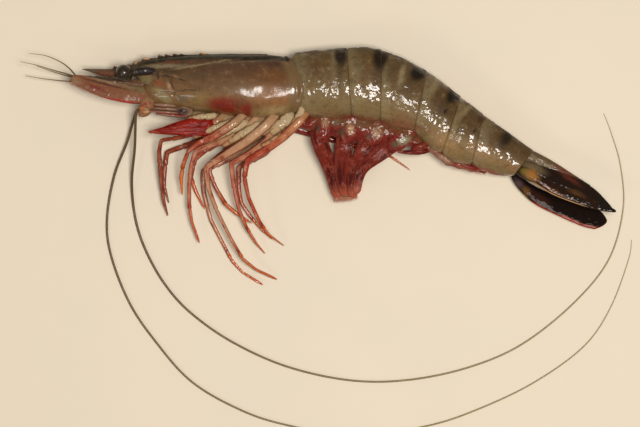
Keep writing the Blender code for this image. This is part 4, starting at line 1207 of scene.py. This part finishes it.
def area_light(name, place, aim, size, power, colour):
    """A soft square light that faces a point."""
    lamp = bpy.data.lights.new(name, "AREA")
    lamp.size = size
    lamp.energy = power
    lamp.color = paint(colour)[:3]
    holder = bpy.data.objects.new(name, lamp)
    holder.location = place
    holder.rotation_euler = (Vector(aim) - Vector(place)).to_track_quat("-Z", "Y").to_euler()
    bpy.context.scene.collection.objects.link(holder)


def make_stage():
    """Floor, lights and a camera that looks straight down."""
    make_floor()
    middle = (-0.004, -0.0486, 0.0)
    area_light("key", (0.25, -0.08, 1.72), (0, -0.02, 0), 0.52, 24.4, "#fffaf4")
    area_light("fill", (-0.8, -0.9, 1.1), middle, 0.4, 2.0, "#ffffff")
    world = bpy.data.worlds.new("soft_room")
    world.use_nodes = True
    sky = world.node_tree.nodes["Background"]
    sky.inputs["Color"].default_value = paint("#fff8ee")
    sky.inputs["Strength"].default_value = 0.20
    bpy.context.scene.world = world
    bpy.context.scene.view_settings.view_transform = "Standard"
    lens = bpy.data.cameras.new("camera")
    lens.sensor_width = 36.0
    distance, seen_width = 1.6, 0.256
    lens.lens = lens.sensor_width * (distance - MIDDLE * MM) / seen_width
    lens.clip_start = 0.01
    camera = bpy.data.objects.new("camera", lens)
    camera.location = (middle[0], middle[1], distance)
    bpy.context.scene.collection.objects.link(camera)
    bpy.context.scene.camera = camera


# ---- colours and substances ----------------------------------------------------------
# Thin leg shell over pale flesh, clear enough that the flesh shows between red pigment:
# colours of root, middle, end and rim, where the pale root stops, and the glow of flesh.
LIMB_COLOURS = {
    "leg_root_flesh": ("#b8a27c", "#b0966e", "#a8704c", "#76502f", 0.5),
    "leg_chitin": ("#b0805a", "#a04a2c", "#cc5c1c", "#781c0e", 0.34),
    "jaw_foot_chitin": ("#a88a62", "#8c3c20", "#8c3a1a", "#5a160c", 0.12, "#ac7450"),
    "first_leg_chitin": ("#b08c66", "#a44a30", "#dc6c22", "#761f0e", 0.3),
    "second_leg_chitin": ("#b08a64", "#b0684c", "#c4501c", "#842414", 0.32),
    "third_leg_chitin": ("#b8926c", "#b87e5c", "#c4581c", "#7a2414", 0.26),
    "fourth_leg_chitin": ("#b98c66", "#b4644a", "#c25a20", "#7e1e10", 0.3),
    "fifth_leg_chitin": ("#b47c52", "#a84228", "#c85c1e", "#7e1c10", 0.26),
    "far_leg_chitin": ("#7c2018", "#8c2416", "#c46220", "#5c0f0a", 0.3),
}
LEG_FINISHES = {
    "maxilliped_left": "jaw_foot_chitin", "maxilliped_right": "jaw_foot_chitin",
    "leg_1_left": "first_leg_chitin", "leg_2_left": "second_leg_chitin",
    "leg_3_left": "third_leg_chitin", "leg_3_right": "third_leg_chitin",
    "leg_4_left": "fourth_leg_chitin", "leg_5_left": "fifth_leg_chitin",
    "leg_5_right": "far_leg_chitin",
}

UPPER_BLADE_OVALS = (
    ((81.0, -29.8), (6.6, 2.4), "#6c5b41", -27, 0.8, 0.95),
    ((80, -33.0), (4.4, 2.8), "#86643a", -30, 0.7, 0.9),
    ((77.4, -31.6), (1.8, 1.5), "#7c6c2c", -20, 0.8, 0.85),
    ((80.6, -33.0), (2.9, 2.1), "#9c6830", -34, 0.7, 0.95),
    ((89, -39.6), (7.4, 1.0), "#6c3a1c", -32, 0.9, 0.8),
    ((95.6, -34.4), (6.4, 1.3), "#5c2a1c", -35, 0.9, 0.85),
    ((98.4, -40.4), (4.4, 1.1), "#5c3c1e", -24, 0.9, 0.8),
    ((110, -45.0), (6, 3), "#1c1610", -35, 0.8, 0.9),
)
LOWER_BLADE_OVALS = (
    ((75.4, -36.6), (3.0, 2.2), "#544040", -40, 0.8, 0.85),
    ((79.0, -39.6), (2.4, 1.6), "#74522c", -40, 0.8, 0.85),
    ((78.0, -42.0), (2.0, 1.2), "#82602c", -35, 0.8, 0.8),
    ((84.0, -42.4), (6.0, 2.0), "#3c1c14", -32, 0.9, 0.8),
    ((86.0, -46.4), (6.0, 0.7), "#84301c", -32, 0.8, 0.9),
    ((96, -50.9), (8, 0.8), "#9c3a20", -22, 0.8, 0.95),
    ((105.6, -54.2), (6, 0.7), "#8c2a16", -12, 0.8, 0.95),
)

# Skins whose colours lie at known places. Chitin is hard shell that shines like horn under
# water, skin and flesh are softer, scatter more light and fold, and bristle is dry horn.
PAINTED_SKINS = {
    "beak_chitin": dict(
        base="#4a3a26", clouds=("#1c170d", "#6b563a", 1.8), ovals=(
            ((-90, 7.6), (7, 1.6), "#6b3f2b", -4, 0.8, 0.9),
            ((-83, 7.4), (4, 1.4), "#7a3a26", 0, 0.8, 0.9),
            ((-96, 9.0), (5, 1.0), "#5e5240", 0, 0.8, 0.9),
            ((-54, 14.4), (20, 1.4), "#1a170d", 2, 0.7, 0.97),
            ((-96, 9.6), (6, 0.5), "#2c2416", -2, 0.8, 0.9),
            ((-85, 10.4), (6, 0.8), "#2a2013", 8, 0.8, 0.9),
            ((-85.6, 10.4), (1.0, 0.5), "#8a4c34", 20, 0.6, 0.9),
            ((-77.4, 12.0), (1.3, 0.7), "#b48c64", 20, 0.6, 0.97),
            ((-73.2, 13.7), (2.2, 0.8), "#cca486", 14, 0.6, 0.97),
            ((-67.4, 14.8), (1.3, 0.6), "#98946a", 0, 0.6, 0.97),
            ((-61.4, 15.3), (1.4, 0.6), "#c98a70", 0, 0.6, 0.97),
            ((-50.6, 15.5), (1.6, 0.6), "#b47a32", 0, 0.6, 0.97))),
    "cream_flesh": dict(
        base="#a08460", clouds=("#6c5036", "#c4a880", 2.0), ovals=(
            ((-48, -12), (8, 3), "#8f7a58", -30, 0.9, 0.7),
            ((-14, -11), (6, 3), "#a48b66", 30, 0.9, 0.8))),
    "pink_flesh": dict(
        base="#74241a", clouds=("#3a0c08", "#a4593f", 1.5), coat=0.5, roughness=0.65,
        shine=0.1, crease=0.65, strength=0.7, ovals=(
            ((4.0, -12.0), (15, 2.3), "#694428", -6, 0.9, 0.9),
            ((18.0, -14.0), (13, 2.6), "#6c462a", -10, 0.9, 0.9),
            ((32.0, -17.6), (8, 1.8), "#6c462a", -25, 0.9, 0.85),
            ((-2.0, -12.4), (1.7, 2.5), "#a3785c", 4, 0.9, 0.95),
            ((-5.2, -14.6), (1.5, 2.0), "#4c4230", 0, 0.9, 0.85),
            ((2.6, -12.2), (2.4, 1.3), "#6a5c42", 30, 0.9, 0.8),
            ((8.2, -15.0), (1.8, 2.6), "#b08a68", 8, 0.9, 0.95),
            ((4.6, -16.4), (1.9, 2.2), "#554836", 0, 0.9, 0.85),
            ((12.6, -12.6), (2.4, 1.3), "#745a3e", 0, 0.9, 0.8),
            ((18.8, -16.6), (2.1, 2.3), "#ae8c6e", 10, 0.9, 0.95),
            ((15.4, -18.0), (1.6, 1.8), "#564c3a", 0, 0.9, 0.85),
            ((29.4, -19.6), (3.4, 1.9), "#8a8268", 14, 0.7, 0.95),
            ((26.0, -21.0), (1.8, 1.6), "#5a5644", 0, 0.7, 0.8),
            ((42.0, -23.4), (5.0, 1.6), "#8e6650", 6, 0.8, 0.85),
            ((37.0, -23.8), (2.2, 1.2), "#b89a78", 0, 0.7, 0.85),
            ((45.6, -27.0), (4.4, 1.6), "#a5826a", -32, 0.8, 0.9),
            ((54.0, -30.8), (5.0, 1.0), "#965a46", -20, 0.8, 0.9))),
    "eye_stalk_skin": dict(
        base="#241b18", clouds=("#120d0d", "#463a38", 0.9), coat=0.35, crease=1.0, ovals=(
            ((-79, 8.0), (2.4, 2.4), "#453828", 0, 0.8, 0.7),)),
    "feeler_stalk_chitin": dict(
        base="#6b4a30", clouds=("#4a3020", "#96745a", 1.6), ovals=(
            ((-88, 5.2), (14, 0.9), "#33281c", -8, 0.8, 0.9),
            ((-100, 6.0), (4, 2), "#94694a", 0, 0.8, 0.8))),
    "scale_chitin": dict(
        base="#7a4a2e", clouds=("#4c2416", "#a87c5a", 1.3), coat=0.25, ovals=(
            ((-76, 1.2), (8, 2.2), "#6e6040", -10, 0.9, 0.85),
            ((-90, 4.6), (13, 0.9), "#86745a", -15, 0.7, 0.9),
            ((-90, 3.1), (11, 0.45), "#3c2014", -15, 0.7, 0.85),
            ((-93, 1.4), (5, 0.9), "#6a1c10", -22, 0.8, 0.9),
            ((-80, -1.0), (7, 1.3), "#7e5032", -6, 0.9, 0.7),
            ((-83, -3.7), (9, 0.7), "#9c2418", -10, 0.6, 0.95),
            ((-94, -1.4), (6, 0.8), "#7e2a1a", -24, 0.7, 0.9),
            ((-102, 4.6), (3, 2.2), "#8e6c4c", -20, 0.8, 0.8))),
    "antenna_root_chitin": dict(
        base="#8a5c3a", clouds=("#5a2c1c", "#b88c68", 1.1), coat=0.3, crease=0.8,
        strength=0.6, ovals=(
            ((-71, -3.0), (2.4, 1.6), "#7a6844", 0, 0.8, 0.8),
            ((-73.6, -5.0), (2.4, 0.6), "#8c3422", 20, 0.8, 0.9),
            ((-75.4, -6.8), (1.6, 1.4), "#a8643a", 0, 0.8, 0.8),
            ((-73.0, -8.0), (1.6, 0.6), "#c49a70", 0, 0.8, 0.8))),
    "mouth_flesh": dict(
        base="#8e6e56", clouds=("#5a3430", "#b09078", 1.4), ovals=(
            ((-67, -6.2), (5, 0.4), "#6c3428", -4, 0.8, 0.9),
            # The pink line along the lower lip is a painted highlight, laid into the lip's
            # pink.
            ((-67, -8.4), (6, 0.6), "#9c5048", -8, 0.8, 0.9),
            ((-60.4, -9.4), (4, 0.6), "#8c2026", -6, 0.8, 0.9),
            ((-58.8, -7.8), (3.0, 1.6), "#241420", -4, 0.7, 0.97),
            ((-54, -10.2), (3, 1.4), "#8a8464", -30, 0.8, 0.9))),
    "telson_chitin": dict(
        base="#5e4a30", clouds=("#3a2a1a", "#8e7858", 1.8), coat=0.3, crease=0.7, ovals=(
            ((84, -27.6), (8, 1.2), "#77654a", -28, 0.8, 0.9),
            ((94, -31.4), (6, 1.8), "#6c3a28", -30, 0.8, 0.9),
            ((102, -36.0), (6, 2.0), "#2e1d12", -30, 0.8, 0.95))),
    "uropod_inner_left_chitin": dict(
        base="#20130b", clouds=("#0e0805", "#3c2414", 1.8), coat=0.4, roughness=0.8,
        shine=0.05, crease=0.42, ovals=UPPER_BLADE_OVALS),
    "uropod_outer_left_chitin": dict(
        base="#26160c", clouds=("#120b07", "#4e321c", 1.8), coat=0.4, roughness=0.8,
        shine=0.05, crease=0.45, edge=("#b48e60", 0.22, 0.72, 0.10),
        ovals=UPPER_BLADE_OVALS),
    "uropod_inner_right_chitin": dict(
        base="#1a120d", clouds=("#0c0805", "#261a12", 1.8), coat=0.3, roughness=0.8,
        shine=0.05, ovals=LOWER_BLADE_OVALS),
    "uropod_outer_right_chitin": dict(
        base="#1a100c", clouds=("#090504", "#2c1810", 1.8), coat=0.12, roughness=0.8,
        shine=0.05, edge=("#8e2a18", 0.30, 1.2, 0.07), ovals=LOWER_BLADE_OVALS),
    "bristle_horn": dict(base="#b4745a", clouds=("#8c3c28", "#d4a888", 1.0), coat=0.2),
}


def main():
    """Builds every finish and piece, then the stage."""
    finishes = {name: make_painted_finish(name, **look)
                for name, look in PAINTED_SKINS.items()}
    finishes.update((name, make_limb_finish(name, *look))
                    for name, look in LIMB_COLOURS.items())
    finishes["cornea"] = make_eye_finish()
    make_head_shell(make_head_shell_finish())
    make_beak(finishes["beak_chitin"])
    make_segments(make_tail_shell_finish())
    make_thorax(finishes["cream_flesh"], finishes["leg_root_flesh"])
    make_legs({name: finishes[LEG_FINISHES.get(name, "leg_chitin")] for name in LEGS})
    make_swimming_legs(make_blade_finish("swimming_leg_skin", "#70251a", "#46130d",
                                         "#a4523a", "#8a4232"), finishes["pink_flesh"])
    make_belly(finishes["pink_flesh"])
    make_jaw_blades(make_blade_finish("jaw_blade_skin", "#88160a", "#5e0e07", "#9c402c",
                                      "#8e2a18"))
    make_head_parts(finishes)
    make_tail_fan(finishes)
    make_feelers(make_feeler_finish())
    make_bristles(finishes["bristle_horn"])
    make_stage()


main()
